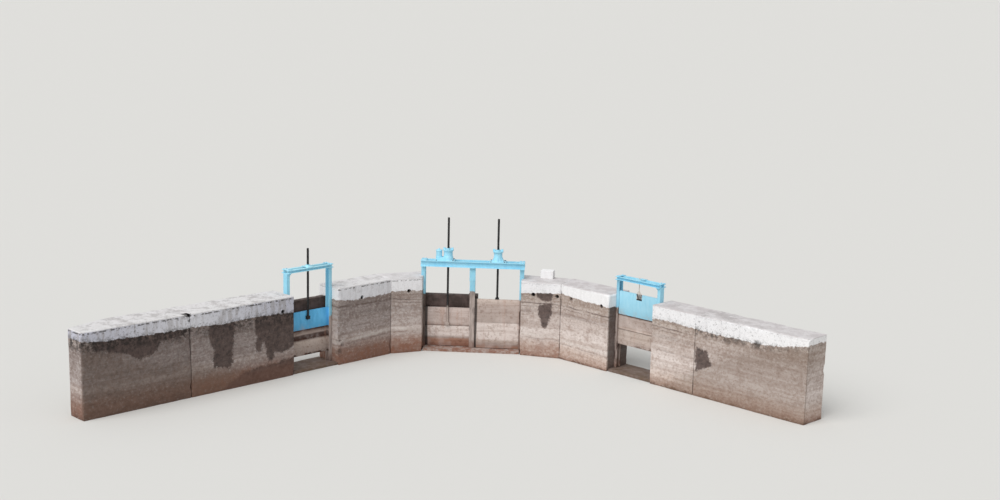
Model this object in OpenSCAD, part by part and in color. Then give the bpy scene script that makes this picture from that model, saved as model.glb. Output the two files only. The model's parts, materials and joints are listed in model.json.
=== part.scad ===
// Sluice gate: a polygonal concrete headwall with three gate stations and four sliding leaves.
// The origin is at the middle of the centre opening, in the plane of its leaves, at the waterline.

/* [Headwall] */
// Height of the wall tops over the waterline
wall_h = 1600; // [1300:10:2400]
// Thickness of the walls between the gate stations
link_t = 650; // [600:10:900]
// Thickness of the left wing wall
left_wing_t = 700; // [600:10:1000]
// Thickness of the right wing wall
right_wing_t = 600; // [500:10:1000]
// Chamfer along the top edges of the walls
wall_chamfer = 20; // [5:1:40]
// Thickness of the left wing wall at its free end
left_end_t = 470; // [300:10:560]
// Length over which the left wing wall thins to its free end
left_taper = 800; // [300:10:1500]

/* [Plan of the headwall] */
// Clear width of the centre opening, which holds two leaves
centre_open = 2080; // [1900:10:3000]
// Clear width of each side opening
side_open = 1120; // [1000:10:1800]
// Front length of the left wall next to the centre opening
left_inner_len = 680; // [560:10:1500]
// Front length of the left wall next to the left opening
left_outer_len = 1390; // [900:10:3000]
// Front length of the left wing wall, the piece at the opening
left_wing_inner_len = 2360; // [1500:10:4000]
// Front length of the left wing wall, the end piece
left_wing_outer_len = 2210; // [1600:10:4000]
// Turn of the left inner wall from the centre row, degrees
left_inner_turn = 25; // [10:0.5:35]
// Turn of the left opening and its wing from the centre row, degrees
left_turn = 48.7; // [40:0.1:60]
// Front length of the right wall next to the centre opening
right_inner_len = 855; // [840:5:1500]
// Front length of the right wall next to the right opening
right_outer_len = 1310; // [1200:10:3000]
// Front length of the right wing wall, the piece at the opening
right_wing_inner_len = 1060; // [600:10:2000]
// Front length of the right wing wall, the end piece
right_wing_outer_len = 2510; // [1500:10:4000]
// Turn of the right inner wall from the centre row, degrees
right_inner_turn = 11; // [5:0.5:30]
// Turn of the right opening and its wing from the centre row, degrees
right_turn = 41.5; // [32:0.1:60]

/* [Weep holes and kerb block] */
// Diameter of the weep holes under the whitewash
weep_d = 60; // [30:5:100]
// Depth of the weep holes
weep_deep = 100; // [40:10:200]
// Distance of the weep holes below the wall tops
weep_down = 275; // [150:5:500]
// Distance of the left wing's weep hole from its opening
weep_wing = 265; // [150:5:900]
// Width of the block on the right inner wall
block_w = 280; // [150:10:400]
// Depth of the block
block_d = 210; // [120:10:400]
// Height of the block
block_h = 170; // [80:10:300]
// Distance of the block from the centre opening, along the wall
block_at = 310; // [200:10:500]

/* [Sills, pier and breast walls] */
// Height of the sills over the waterline
sill_h = 60; // [30:5:200]
// Setback of the sills from the front face
sill_setback = 40; // [0:5:120]
// Width of the pier behind the centre mullion
pier_w = 200; // [120:10:400]
// Thickness of the breast walls
breast_t = 150; // [80:10:200]
// Gap between the gate guides and the breast walls
breast_gap = 60; // [50:5:100]
// Height of the water ways between the sills and the breast walls
breast_clear = 700; // [400:10:800]
// Height of the centre opening's left breast wall
centre_breast_h = 400; // [200:10:500]
// Height of its right breast wall, which stays below the taller leaf
right_breast_h = 265; // [100:5:500]
// Height of the breast walls at the side openings
side_breast_h = 620; // [200:10:700]

/* [Gate guides] */
// Setback of the guides' centre plane from the front face
frame_y = 290; // [200:5:310]
// Size of a centre guide channel along the row
post_w = 90; // [80:1:140]
// Size of a side guide channel along the row
side_post_w = 70; // [60:1:120]
// Size of a guide channel across the row
post_d = 120; // [110:1:150]
// Depth of the wall grooves that hold the centre guides
groove_d = 50; // [30:1:60]
// Thickness of the steel channels
steel_t = 8; // [5:0.5:10]
// Width of the centre mullion along the row
mullion_w = 110; // [104:1:160]
// Height of the cover plate at the top of the mullion
cover_h = 290; // [150:10:600]
// Width of the mullion's cover plate
cover_w = 124; // [100:1:200]
// Thickness of the plates that cap the guides
cap_t = 10; // [6:1:16]
// Side of the corner gussets under the side beams
gusset = 50; // [30:5:150]

/* [Beams] */
// Height of the centre beam's underside over the wall tops
centre_beam_rise = 210; // [150:5:600]
// Height of the left beam's underside over the wall tops
left_beam_rise = 410; // [300:5:700]
// Height of the right beam's underside over the wall tops
right_beam_rise = 295; // [250:5:700]
// Height of the centre beam's channels
centre_beam_h = 120; // [80:5:200]
// Height of the side beams' channels
side_beam_h = 62; // [50:1:160]
// Depth of the centre beam over both channels
beam_d = 280; // [250:5:320]
// Depth of a side beam over both channels
side_beam_d = 220; // [215:5:300]
// Width of the channels' flanges
flange_w = 55; // [40:1:56]
// Length of the centre beam past its opening at each end
beam_over = 60; // [55:1:120]
// Width of the batten plates on the centre beam's ends
batten_w = 120; // [60:5:200]
// Thickness of the batten plates
batten_t = 8; // [4:1:14]

/* [Leaves] */
// Running gap between a leaf and its guides
run_gap = 6; // [5:0.5:8]
// Depth that a leaf's edge reaches into its guides
leaf_engage = 42; // [25:1:44]
// Thickness of the leaf plates
skin_t = 8; // [5:0.5:10]
// Overlap of a leaf's upper plate on its lower plate
lap_h = 40; // [20:5:80]
// Depth of the stiffeners behind a leaf
stiff_d = 38; // [20:1:40]
// Gap between a closed leaf and the sill
foot_gap = 5; // [5:0.5:20]
// Height of the left leaf
left_leaf_h = 910; // [700:10:1100]
// Height of the left leaf's upper plate
left_upper_h = 385; // [200:5:500]
// Lift of the left leaf over its closed place
left_lift = 185; // [50:5:400]
// Height of the left leaf of the centre opening
centre_left_h = 835; // [700:5:1000]
// Height of that leaf's upper plate
centre_left_upper_h = 385; // [250:5:500]
// Height of the right leaf of the centre opening
centre_right_h = 1060; // [800:5:1200]
// Height of that leaf's upper plate
centre_right_upper_h = 500; // [250:5:600]
// Height of the right leaf
right_leaf_h = 1100; // [800:10:1150]
// Height of the right leaf's upper plate
right_upper_h = 487; // [250:1:600]
// Lift of the right leaf over its closed place
right_lift = 500; // [100:5:520]
// Distance of the left leaf's rubbing strip below its upper plate
left_strip_down = 195; // [80:5:300]
// Distance of the right leaf's rubbing strip below its upper plate
right_strip_down = 295; // [80:5:400]
// Height of the rubbing strips
strip_h = 28; // [10:1:60]
// Width of the notch in the right leaf's top edge
notch_w = 145; // [80:5:200]
// Depth of the notch in the right leaf's top edge
notch_h = 120; // [60:5:200]

/* [Stems] */
// Diameter of the screw stems
stem_d = 48; // [30:1:50]
// Clearance between a stem and its nut, on the radius
nut_gap = 0.3; // [0.3:0.1:0.8]
// Height of the stems over the centre beam
centre_stem_over = 920; // [500:5:1800]
// Height of the left stem over its beam
left_stem_over = 375; // [300:5:1500]
// Reach of the left stem down the face of its leaf
left_stem_reach = 165; // [100:5:350]
// Width of the block at the foot of a stem
foot_w = 80; // [60:1:120]
// Height of the block at the foot of a stem
foot_h = 70; // [40:5:150]
// Size of the nut on the left beam, across its corners
nut_d = 96; // [70:1:130]
// Height of that nut
nut_h = 34; // [20:1:80]
// Diameter of the hanger rod at the right opening
hanger_d = 16; // [10:1:24]
// Diameter of the empty stem hole in the right beam's plate
hole_d = 76; // [40:1:84]

/* [Screw hoists] */
// Height of a hoist over the beam
hoist_h = 275; // [220:5:400]
// Diameter of the turning nut on top of a hoist
crown_d = 220; // [210:2:300]
// Thickness of the turning nut's plate
crown_t = 26; // [14:1:40]
// Height of the lugs on the turning nut
lug_h = 34; // [15:1:60]
// Width of the lugs
lug_w = 52; // [20:1:70]
// Thickness of the hoists' base plates
hoist_base_t = 15; // [10:1:25]
// Diameter of the left hoist's body at its waist
left_waist_d = 186; // [130:2:190]
// Diameter of the left hoist's foot
left_foot_d = 210; // [206:2:240]
// Height of the gear case at the foot of the left hoist
case_h = 70; // [40:5:110]
// Diameter of the drive shaft's bearing beside the left hoist
drive_d = 126; // [80:2:140]
// Height of that bearing over the beam
drive_h = 225; // [180:5:300]
// Distance of the drive shaft from the left stem
drive_at = 196; // [190:1:260]
// Size of the square end of the drive shaft
drive_square = 28; // [16:1:40]
// Diameter of the right hoist's neck
right_neck_d = 178; // [120:2:190]
// Diameter of the right hoist's foot
right_foot_d = 270; // [240:2:280]
// Height of the right hoist's cone
cone_h = 118; // [80:2:150]
// Number of ribs round the right hoist's cone
rib_count = 6; // [3:1:8]
// Thickness of the ribs
rib_t = 12; // [6:1:20]
// Length of the right hoist's base plate along the beam
hoist_base_w = 350; // [300:5:500]

/* [Hidden] */
$fn = 48;

concrete = [0.72, 0.68, 0.64];
wet_concrete = [0.34, 0.31, 0.29];
paint = [0.45, 0.75, 0.88];
silted = [0.60, 0.54, 0.50];
black_steel = [0.12, 0.12, 0.13];
wire = [0.62, 0.60, 0.57];

// Length that a cutter reaches past what it cuts
past = 20;
// Gap between pieces that are seated on each other
seat = 0.3;

// Plan points of the headwall's front line, left to right
function heading(a) = [cos(a), sin(a)];
left_start = [-centre_open / 2, -frame_y];
left_bend = left_start - left_inner_len * heading(left_inner_turn);
left_link = left_bend - left_outer_len * heading(left_turn);
left_bay = left_link - side_open / 2 * heading(left_turn);
left_joint = left_link - (side_open + left_wing_inner_len) * heading(left_turn);
left_end = left_joint - left_wing_outer_len * heading(left_turn);
right_start = [centre_open / 2, -frame_y];
right_bend = right_start + right_inner_len * heading(-right_inner_turn);
right_bay = right_bend + (right_outer_len + side_open / 2) * heading(-right_turn);
right_wing = right_bay + side_open / 2 * heading(-right_turn);
right_joint = right_wing + right_wing_inner_len * heading(-right_turn);

// Heights
centre_beam_z = wall_h + centre_beam_rise;
left_beam_z = wall_h + left_beam_rise;
right_beam_z = wall_h + right_beam_rise;
centre_beam_top = centre_beam_z + centre_beam_h;
left_beam_top = left_beam_z + side_beam_h;
right_beam_top = right_beam_z + side_beam_h;
leaf_low = sill_h + foot_gap;
left_leaf_low = leaf_low + left_lift;
right_leaf_low = leaf_low + right_lift;
left_leaf_top = left_leaf_low + left_leaf_h;
right_leaf_top = right_leaf_low + right_leaf_h;
centre_right_top = leaf_low + centre_right_h;
breast_low = sill_h + breast_clear;

// Widths and places of the leaves, and the planes of their plates
proud = post_w - groove_d;
leaf_t = post_d - 2 * steel_t - 2 * run_gap;
side_half = side_open / 2 - seat;
centre_half = centre_open / 2 + groove_d;
side_clear = 2 * (side_half - side_post_w);
side_leaf_w = side_clear + 2 * leaf_engage;
centre_clear = centre_open / 2 - proud - mullion_w / 2;
centre_leaf_w = centre_clear + 2 * leaf_engage;
stem_x = (mullion_w + centre_clear) / 2;
back_face = stem_d / 2 + 4;
front_face = -leaf_t / 2 + 2;
breast_y = frame_y + post_d / 2 + breast_gap;

// Nut plates
plate_w = 160;
plate_t = 12;
hanger_x = -22;
notch_x = 18;
hole_x = 48;

// Hoists: wall of the collar round the stem, gap between stem and lugs, rims of the left base plate,
// and how far the gear case's straight sides lie inside the tangents of its circles
collar_t = 22;
lug_in = 42;
base_rim = 36;
drive_rim = 14;
side_inset = 1;

// Places the children at a gate station, on the front line or on the guides' centre plane
module at_left() translate(left_bay) rotate(left_turn) children();
module at_centre() translate([0, -frame_y, 0]) children();
module at_right() translate(right_bay) rotate(-right_turn) children();
module left_guides() at_left() translate([0, frame_y, 0]) children();
module centre_guides() at_centre() translate([0, frame_y, 0]) children();
module right_guides() at_right() translate([0, frame_y, 0]) children();

// One straight wall piece. Its ends are skewed by how far the back corners lie along the wall.
// lead is the gap to the piece at its left, and a tapered piece is thinner at its left end.
module wall(len, t, lead = 0, start_skew = 0, end_skew = 0, end_t = 0, taper = 0) {
  c = wall_chamfer;
  plan = end_t > 0
    ? [[lead, 0], [len, 0], [len + end_skew, t], [taper, t], [lead, end_t]]
    : [[lead, 0], [len, 0], [len + end_skew, t], [lead + start_skew, t]];
  intersection() {
    linear_extrude(wall_h) polygon(plan);
    translate([-t, 0, 0]) rotate([90, 0, 90]) linear_extrude(len + 2 * t)
      polygon([[0, 0], [t, 0], [t, wall_h - c], [t - c, wall_h], [c, wall_h], [0, wall_h - c]]);
  }
}

// Blind weep hole in the front face, at a distance along the wall piece
module weep(along) {
  translate([along, weep_deep, wall_h - weep_down]) rotate([90, 0, 0])
    cylinder(d = weep_d, h = weep_deep + past);
}

// The wall grooves of the centre opening, which hold its guides
module grooves() {
  high = wall_h - sill_h + past;
  at_centre() for (side = [-1, 1])
    translate([side * centre_open / 2, frame_y, sill_h + high / 2])
      cube([2 * (groove_d + seat), post_d + 2 * seat, high], center = true);
}

module left_wing_wall_outer() {
  color(concrete) translate(left_end) rotate(left_turn)
    wall(left_wing_outer_len, left_wing_t, end_t = left_end_t, taper = left_taper);
}

module left_wing_wall_inner() {
  color(concrete) translate(left_joint) rotate(left_turn) difference() {
    wall(left_wing_inner_len, left_wing_t, lead = seat);
    weep(left_wing_inner_len - weep_wing);
  }
}

module left_link_wall_outer() {
  mitre = link_t * tan((left_turn - left_inner_turn) / 2);
  color(concrete) translate(left_link) rotate(left_turn) difference() {
    wall(left_outer_len, link_t, end_skew = mitre);
    weep(0.44 * left_outer_len);
  }
}

module left_link_wall_inner() {
  mitre = link_t * tan((left_turn - left_inner_turn) / 2);
  skew = link_t * tan(left_inner_turn);
  color(concrete) difference() {
    translate(left_bend) rotate(left_inner_turn) difference() {
      wall(left_inner_len, link_t, lead = seat, start_skew = -mitre, end_skew = skew);
      weep(0.57 * left_inner_len);
    }
    grooves();
  }
}

module right_link_wall_inner() {
  mitre = link_t * tan((right_turn - right_inner_turn) / 2);
  skew = -link_t * tan(right_inner_turn);
  color(concrete) difference() {
    translate(right_start) rotate(-right_inner_turn) difference() {
      wall(right_inner_len, link_t, start_skew = skew, end_skew = mitre);
      for (part = [0.31, 0.91]) weep(part * right_inner_len);
    }
    grooves();
  }
}

module right_link_wall_outer() {
  mitre = link_t * tan((right_turn - right_inner_turn) / 2);
  color(concrete) translate(right_bend) rotate(-right_turn) difference() {
    wall(right_outer_len, link_t, lead = seat, start_skew = -mitre);
    for (part = [0.22, 0.85]) weep(part * right_outer_len);
  }
}

module right_wing_wall_inner() {
  color(concrete) translate(right_wing) rotate(-right_turn)
    wall(right_wing_inner_len, right_wing_t);
}

module right_wing_wall_outer() {
  color(concrete) translate(right_joint) rotate(-right_turn)
    wall(right_wing_outer_len, right_wing_t, lead = seat);
}

module kerb_block() {
  color(concrete) translate(right_start) rotate(-right_inner_turn)
    translate([block_at, link_t - wall_chamfer - block_d, wall_h]) cube([block_w, block_d, block_h]);
}

// Sill between two walls
module sill(open) {
  translate([seat - open / 2, sill_setback, 0])
    cube([open - 2 * seat, link_t - sill_setback, sill_h]);
}

module left_sill() { color(silted) at_left() sill(side_open); }
module centre_sill() { color(silted) at_centre() sill(centre_open); }
module right_sill() { color(silted) at_right() sill(side_open); }

// Pier with a nose as wide as the mullion, which it backs
module centre_pier() {
  nose = mullion_w / 2;
  y = frame_y + post_d / 2 + seat;
  half = pier_w / 2;
  color(concrete) at_centre() translate([0, 0, sill_h])
    linear_extrude(breast_clear + centre_breast_h) polygon([
      [-nose, y], [nose, y], [nose, breast_y], [half, breast_y], [half, link_t], [-half, link_t],
      [-half, breast_y], [-nose, breast_y]
    ]);
}

// Breast wall from one end to the other, behind the guides
module breast(x0, x1, h) {
  translate([x0 + seat, breast_y, breast_low]) cube([x1 - x0 - 2 * seat, breast_t, h]);
}

module left_breast_wall() {
  color(wet_concrete) at_left() breast(-side_open / 2, side_open / 2, side_breast_h);
}

module centre_breast_walls() {
  color(wet_concrete) at_centre() {
    breast(-centre_open / 2, -pier_w / 2, centre_breast_h);
    breast(pier_w / 2, centre_open / 2, right_breast_h);
  }
}

module right_breast_wall() {
  color(wet_concrete) at_right() breast(-side_open / 2, side_open / 2, side_breast_h);
}

// Section of a rolled channel: web on the left, flanges that thin towards their edges
module channel_section(w, d, t) {
  root = 1.35 * t;
  polygon([
    [0, 0], [w, 0], [w, t], [t, root], [t, d - root], [w, d - t], [w, d], [0, d]
  ]);
}

// Section of a guide channel, with flanges of one thickness
module guide_section(w, d) {
  polygon([
    [0, 0], [w, 0], [w, steel_t], [steel_t, steel_t], [steel_t, d - steel_t], [w, d - steel_t],
    [w, d], [0, d]
  ]);
}

// Guide channel, open towards +X, with a cap plate that carries the rails
module guide_post(w, top, cap_d) {
  translate([0, -post_d / 2, sill_h]) linear_extrude(top - cap_t - sill_h) guide_section(w, post_d);
  translate([0, -cap_d / 2, top - cap_t]) cube([w, cap_d, cap_t]);
}

// Places a guide post at one end of a frame, -1 for the left and 1 for the right
module frame_end(half, side) mirror([side > 0 ? 1 : 0, 0, 0]) translate([-half, 0, 0]) children();

// Side guide post, with a gusset in front
module side_post(side, top) {
  color(paint) frame_end(side_half, side) {
    guide_post(side_post_w, top, side_beam_d);
    translate([side_post_w - steel_t, -post_d / 2, top - cap_t]) rotate([90, 0, 0])
      linear_extrude(steel_t) polygon([[0, 0], [gusset, 0], [0, -gusset]]);
  }
}

module centre_post(side) {
  color(paint) frame_end(centre_half, side) guide_post(post_w, centre_beam_z, beam_d);
}

module left_frame_post_left() { left_guides() side_post(-1, left_beam_z); }
module left_frame_post_right() { left_guides() side_post(1, left_beam_z); }
module centre_frame_post_left() { centre_guides() centre_post(-1); }
module centre_frame_post_right() { centre_guides() centre_post(1); }
module right_frame_post_left() { right_guides() side_post(-1, right_beam_z); }
module right_frame_post_right() { right_guides() side_post(1, right_beam_z); }

// Mullion: two guide channels back to back, with a cover plate in front of its top
module centre_frame_mullion() {
  h = centre_beam_z - cap_t - sill_h;
  color(paint) centre_guides() {
    translate([0, -post_d / 2, sill_h]) linear_extrude(h) union() {
      translate([-steel_t / 2, 0]) guide_section((mullion_w + steel_t) / 2, post_d);
      mirror([1, 0]) translate([-steel_t / 2, 0]) guide_section((mullion_w + steel_t) / 2, post_d);
    }
    translate([-mullion_w / 2, -beam_d / 2, centre_beam_z - cap_t]) cube([mullion_w, beam_d, cap_t]);
    translate([-cover_w / 2, -post_d / 2 - steel_t, centre_beam_z - cap_t - cover_h])
      cube([cover_w, steel_t, cover_h]);
  }
}

// Channel rail of a beam, its flanges outwards; side is -1 at the front and 1 at the back
module rail(half, depth, low, h, side) {
  color(paint) mirror([0, side < 0 ? 1 : 0, 0])
    translate([-half, depth / 2 - flange_w, low]) rotate([90, 0, 90])
      linear_extrude(2 * half) channel_section(flange_w, h, steel_t);
}

module side_rail(low, side) rail(side_half, side_beam_d, low, side_beam_h, side);
module centre_rail(side) rail(centre_open / 2 + beam_over, beam_d, centre_beam_z, centre_beam_h, side);

// Batten plates that join the rails at both ends of a beam
module battens(half, depth, w, top) {
  color(paint) for (side = [-1, 1])
    frame_end(half, side) translate([0, -depth / 2, top]) cube([w, depth, batten_t]);
}

module left_frame_front_rail() { left_guides() side_rail(left_beam_z, -1); }
module left_frame_back_rail() { left_guides() side_rail(left_beam_z, 1); }
module left_frame_battens() {
  left_guides() battens(side_half, side_beam_d, side_post_w, left_beam_top);
}
module centre_frame_front_rail() { centre_guides() centre_rail(-1); }
module centre_frame_back_rail() { centre_guides() centre_rail(1); }
module centre_frame_battens() {
  centre_guides() battens(centre_open / 2 + beam_over, beam_d, batten_w, centre_beam_top);
}
module right_frame_front_rail() { right_guides() side_rail(right_beam_z, -1); }
module right_frame_back_rail() { right_guides() side_rail(right_beam_z, 1); }
module right_frame_battens() {
  right_guides() battens(side_half, side_beam_d, side_post_w, right_beam_top);
}

// Plate across the rails of a side beam
module rail_plate(top) {
  translate([-plate_w / 2, -side_beam_d / 2, top]) cube([plate_w, side_beam_d, plate_t]);
}

module left_nut_plate() {
  color(paint) left_guides() difference() {
    union() {
      rail_plate(left_beam_top);
      translate([0, 0, left_beam_top]) cylinder(d = nut_d, h = plate_t + nut_h, $fn = 6);
    }
    translate([0, 0, left_beam_top - past])
      cylinder(d = stem_d + 2 * nut_gap, h = plate_t + nut_h + 2 * past);
  }
}

module right_hole_plate() {
  color(paint) right_guides() difference() {
    translate([(hole_x + hanger_x) / 2, 0, 0]) rail_plate(right_beam_top);
    translate([hanger_x, 0, right_beam_top - past])
      cylinder(d = hanger_d + 2 * nut_gap, h = plate_t + 2 * past);
    translate([hole_x, 0, right_beam_top - past]) cylinder(d = hole_d, h = plate_t + 2 * past);
  }
}

// Steel leaf. The upper plate laps over the front of the lower plate, face is the upper plate's
// front plane, and channels along both edges run in the guides. Stiffeners stand behind the plates.
module leaf(w, clear, h, upper_h, face, strip_z = 0) {
  seam = h - upper_h;
  inner = clear - 2 * run_gap;
  edge_w = leaf_engage;
  translate([-w / 2, face, seam]) cube([w, skin_t, upper_h]);
  translate([-w / 2, face + skin_t, 0]) cube([w, skin_t, seam + lap_h]);
  for (side = [0, 1]) mirror([side, 0, 0]) translate([-w / 2, -leaf_t / 2, 0])
    linear_extrude(h) guide_section(edge_w - run_gap, leaf_t);
  for (bar = [[0, 2], [seam / 2, 2], [seam + lap_h, 1], [h - skin_t, 1]])
    translate([-inner / 2, face + bar[1] * skin_t, bar[0]]) {
      cube([inner, stiff_d, skin_t]);
      translate([0, stiff_d - skin_t, 0])
        translate([0, 0, bar[0] < h / 2 ? 0 : skin_t - stiff_d]) cube([inner, skin_t, stiff_d]);
    }
  for (x = [-w / 6, w / 6]) {
    translate([x - skin_t / 2, face + 2 * skin_t, 0]) cube([skin_t, stiff_d - skin_t, seam + lap_h]);
    translate([x - skin_t / 2, face + skin_t, seam + lap_h]) cube([skin_t, stiff_d, upper_h - lap_h]);
  }
  if (strip_z > 0)
    translate([-inner / 2, face, strip_z]) cube([inner, skin_t, strip_h]);
}

// Screw stem whose foot block is bolted to the plate behind it
module stem(foot, top) {
  front = stem_d / 2 + 3;
  translate([0, 0, foot + foot_h / 2]) cylinder(d = stem_d, h = top - foot - foot_h / 2);
  translate([-foot_w / 2, -front, foot]) cube([foot_w, front + back_face - seat, foot_h]);
}

module left_leaf() {
  color(paint) left_guides() translate([0, 0, left_leaf_low])
    leaf(side_leaf_w, side_clear, left_leaf_h, left_upper_h, back_face,
      left_leaf_h - left_upper_h - left_strip_down);
}

module left_stem() {
  color(black_steel) left_guides()
    stem(left_leaf_top - left_stem_reach, left_beam_top + left_stem_over);
}

module centre_left_leaf() {
  color(silted) centre_guides() translate([-stem_x, 0, leaf_low])
    leaf(centre_leaf_w, centre_clear, centre_left_h, centre_left_upper_h, back_face);
}

module centre_left_stem() {
  color(black_steel) centre_guides() translate([-stem_x, 0, 0])
    stem(leaf_low + centre_left_h - centre_left_upper_h, centre_beam_top + centre_stem_over);
}

module centre_right_leaf() {
  color(silted) centre_guides() translate([stem_x, 0, leaf_low])
    leaf(centre_leaf_w, centre_clear, centre_right_h, centre_right_upper_h, front_face);
}

module centre_right_stem() {
  color(black_steel) centre_guides() translate([stem_x, 0, centre_right_top]) {
    cylinder(d = stem_d, h = centre_beam_top + centre_stem_over - centre_right_top);
    translate([-foot_w / 2, front_face, 0]) cube([foot_w, stem_d / 2 + 3 - front_face, foot_h / 2]);
  }
}

module right_leaf() {
  color(paint) right_guides() difference() {
    translate([0, 0, right_leaf_low])
      leaf(side_leaf_w, side_clear, right_leaf_h, right_upper_h, front_face,
        right_leaf_h - right_upper_h - right_strip_down);
    translate([notch_x - notch_w / 2, -leaf_t, right_leaf_top - notch_h])
      cube([notch_w, 2 * leaf_t, notch_h + past]);
  }
}

// Hanger of the right leaf: a bar that lies in the notch, and a rod up through the beam's plate
module right_hanger() {
  low = right_leaf_top - notch_h;
  top = right_beam_top + plate_t + 2 * hanger_d;
  color(wire) right_guides() {
    translate([notch_x - notch_w / 2 + seat, front_face, low])
      cube([notch_w - 2 * seat, hanger_d - front_face, hanger_d]);
    translate([hanger_x, 0, low]) cylinder(d = hanger_d, h = top - low);
  }
}

// Stand of a hoist on the centre beam, -1 for the left and 1 for the right
module at_hoist(side) centre_guides() translate([side * stem_x, 0, centre_beam_top]) children();

module hoist_bore() translate([0, 0, -past]) cylinder(d = stem_d + 2 * nut_gap, h = hoist_h + 2 * past);

// Turning nut: a round plate with four lugs for a bar
module crown() {
  low = hoist_h - lug_h - crown_t;
  translate([0, 0, low]) cylinder(d = crown_d, h = crown_t);
  translate([0, 0, low + crown_t]) cylinder(d = stem_d + 2 * collar_t, h = 0.55 * lug_h);
  intersection() {
    translate([0, 0, low]) cylinder(d = crown_d, h = crown_t + lug_h);
    for (a = [0, 90])
      rotate(a) difference() {
        translate([-crown_d, -lug_w / 2, low]) cube([2 * crown_d, lug_w, crown_t + lug_h]);
        translate([0, 0, low - past]) cylinder(d = stem_d + 2 * lug_in, h = hoist_h);
      }
  }
}

// Plan of the gear case: two circles joined by straight sides, which run just inside their tangents
module case_plan() {
  r0 = left_foot_d / 2 - 6;
  r1 = drive_d / 2 + 6;
  lean = acos((r0 - r1) / drive_at);
  circle(r0);
  translate([-drive_at, 0]) circle(r1);
  polygon([
    for (side = [1, -1]) (r0 - side_inset) * [-cos(lean), side * sin(lean)],
    for (side = [-1, 1]) (r1 - side_inset) * [-cos(lean), side * sin(lean)] - [drive_at, 0]
  ]);
}

module hoist_left_housing() {
  base_left = drive_at + drive_d / 2 + drive_rim;
  base_right = left_foot_d / 2 + base_rim;
  body_top = hoist_h - lug_h - crown_t;
  color(paint) at_hoist(-1) difference() {
    union() {
      translate([-base_left, -beam_d / 2, 0]) cube([base_left + base_right, beam_d, hoist_base_t]);
      linear_extrude(case_h) case_plan();
      rotate_extrude() polygon([
        [0, 0], [left_foot_d / 2, 0], [left_foot_d / 2, case_h + 12], [left_waist_d / 2, case_h + 34],
        [left_waist_d / 2, body_top - 22], [left_waist_d / 2 + 14, body_top - 8],
        [left_waist_d / 2 + 14, body_top], [0, body_top]
      ]);
      crown();
    }
    hoist_bore();
  }
}

// Bearing of the drive shaft, on the gear case, with a cap and the shaft's square end
module hoist_left_drive() {
  r = drive_d / 2;
  color(paint) at_hoist(-1) translate([-drive_at, 0, 0]) {
    rotate_extrude() polygon([
      [0, case_h], [r + 5, case_h], [r + 5, case_h + 12], [r, case_h + 18], [r, drive_h - 26],
      [r + 6, drive_h - 26], [r + 6, drive_h - 8], [r - 4, drive_h], [0, drive_h]
    ]);
    translate([-drive_square / 2, -drive_square / 2, drive_h])
      cube([drive_square, drive_square, 1.1 * drive_square]);
  }
}

module hoist_right_housing() {
  body_top = hoist_h - lug_h - crown_t;
  foot = hoist_base_t + 14;
  rib_in = right_neck_d / 2 - 10;
  rib_out = right_foot_d / 2 - 4;
  color(paint) at_hoist(1) difference() {
    union() {
      translate([-hoist_base_w / 2, -beam_d / 2, 0]) cube([hoist_base_w, beam_d, hoist_base_t]);
      rotate_extrude() polygon([
        [0, 0], [right_foot_d / 2, 0], [right_foot_d / 2, foot], [right_foot_d / 2 - 22, foot + 6],
        [right_neck_d / 2, cone_h], [right_neck_d / 2, body_top - 20],
        [right_neck_d / 2 + 16, body_top - 6], [right_neck_d / 2 + 16, body_top], [0, body_top]
      ]);
      for (k = [0 : rib_count - 1])
        rotate((k + 0.5) * 360 / rib_count) rotate([90, 0, 0]) translate([0, 0, -rib_t / 2])
          linear_extrude(rib_t) polygon([
            [rib_in, hoist_base_t], [rib_out, hoist_base_t], [rib_out, foot + 8], [rib_in, cone_h + 24]
          ]);
      crown();
    }
    hoist_bore();
  }
}

left_wing_wall_outer();
left_wing_wall_inner();
left_link_wall_outer();
left_link_wall_inner();
right_link_wall_inner();
right_link_wall_outer();
right_wing_wall_inner();
right_wing_wall_outer();
kerb_block();
left_sill();
centre_sill();
right_sill();
centre_pier();
left_breast_wall();
centre_breast_walls();
right_breast_wall();
left_frame_post_left();
left_frame_post_right();
left_frame_front_rail();
left_frame_back_rail();
left_frame_battens();
left_nut_plate();
left_leaf();
left_stem();
centre_frame_post_left();
centre_frame_mullion();
centre_frame_post_right();
centre_frame_front_rail();
centre_frame_back_rail();
centre_frame_battens();
hoist_left_housing();
hoist_left_drive();
hoist_right_housing();
centre_left_leaf();
centre_left_stem();
centre_right_leaf();
centre_right_stem();
right_frame_post_left();
right_frame_post_right();
right_frame_front_rail();
right_frame_back_rail();
right_frame_battens();
right_hole_plate();
right_leaf();
right_hanger();
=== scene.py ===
"""Dresses the sluice gate: worn whitewashed concrete, brushed blue steel, silted leaves, threaded stems.

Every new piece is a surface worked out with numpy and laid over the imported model, which stays the frame.
Lengths are in metres, and +Z is up from the waterline.
"""

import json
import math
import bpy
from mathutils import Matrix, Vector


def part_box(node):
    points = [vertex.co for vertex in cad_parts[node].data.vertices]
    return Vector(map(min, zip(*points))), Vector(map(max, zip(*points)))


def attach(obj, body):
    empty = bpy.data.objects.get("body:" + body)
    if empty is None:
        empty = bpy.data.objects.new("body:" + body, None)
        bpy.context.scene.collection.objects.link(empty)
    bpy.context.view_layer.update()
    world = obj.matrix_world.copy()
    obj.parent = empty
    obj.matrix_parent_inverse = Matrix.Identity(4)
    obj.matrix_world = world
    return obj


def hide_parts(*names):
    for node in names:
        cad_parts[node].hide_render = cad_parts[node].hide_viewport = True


bl_info = {
    "name": "Sluice gate finish",
    "version": (1, 0, 0),
    "blender": (4, 5, 0),
    "location": "View3D > Sidebar > Sluice",
    "description": "Worn concrete, painted steel, screw threads and fasteners for a sluice gate",
    "category": "Object",
}

import bmesh
import bpy
import numpy as np
from bpy.props import FloatProperty, FloatVectorProperty, PointerProperty
from mathutils import Matrix, Vector

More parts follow.
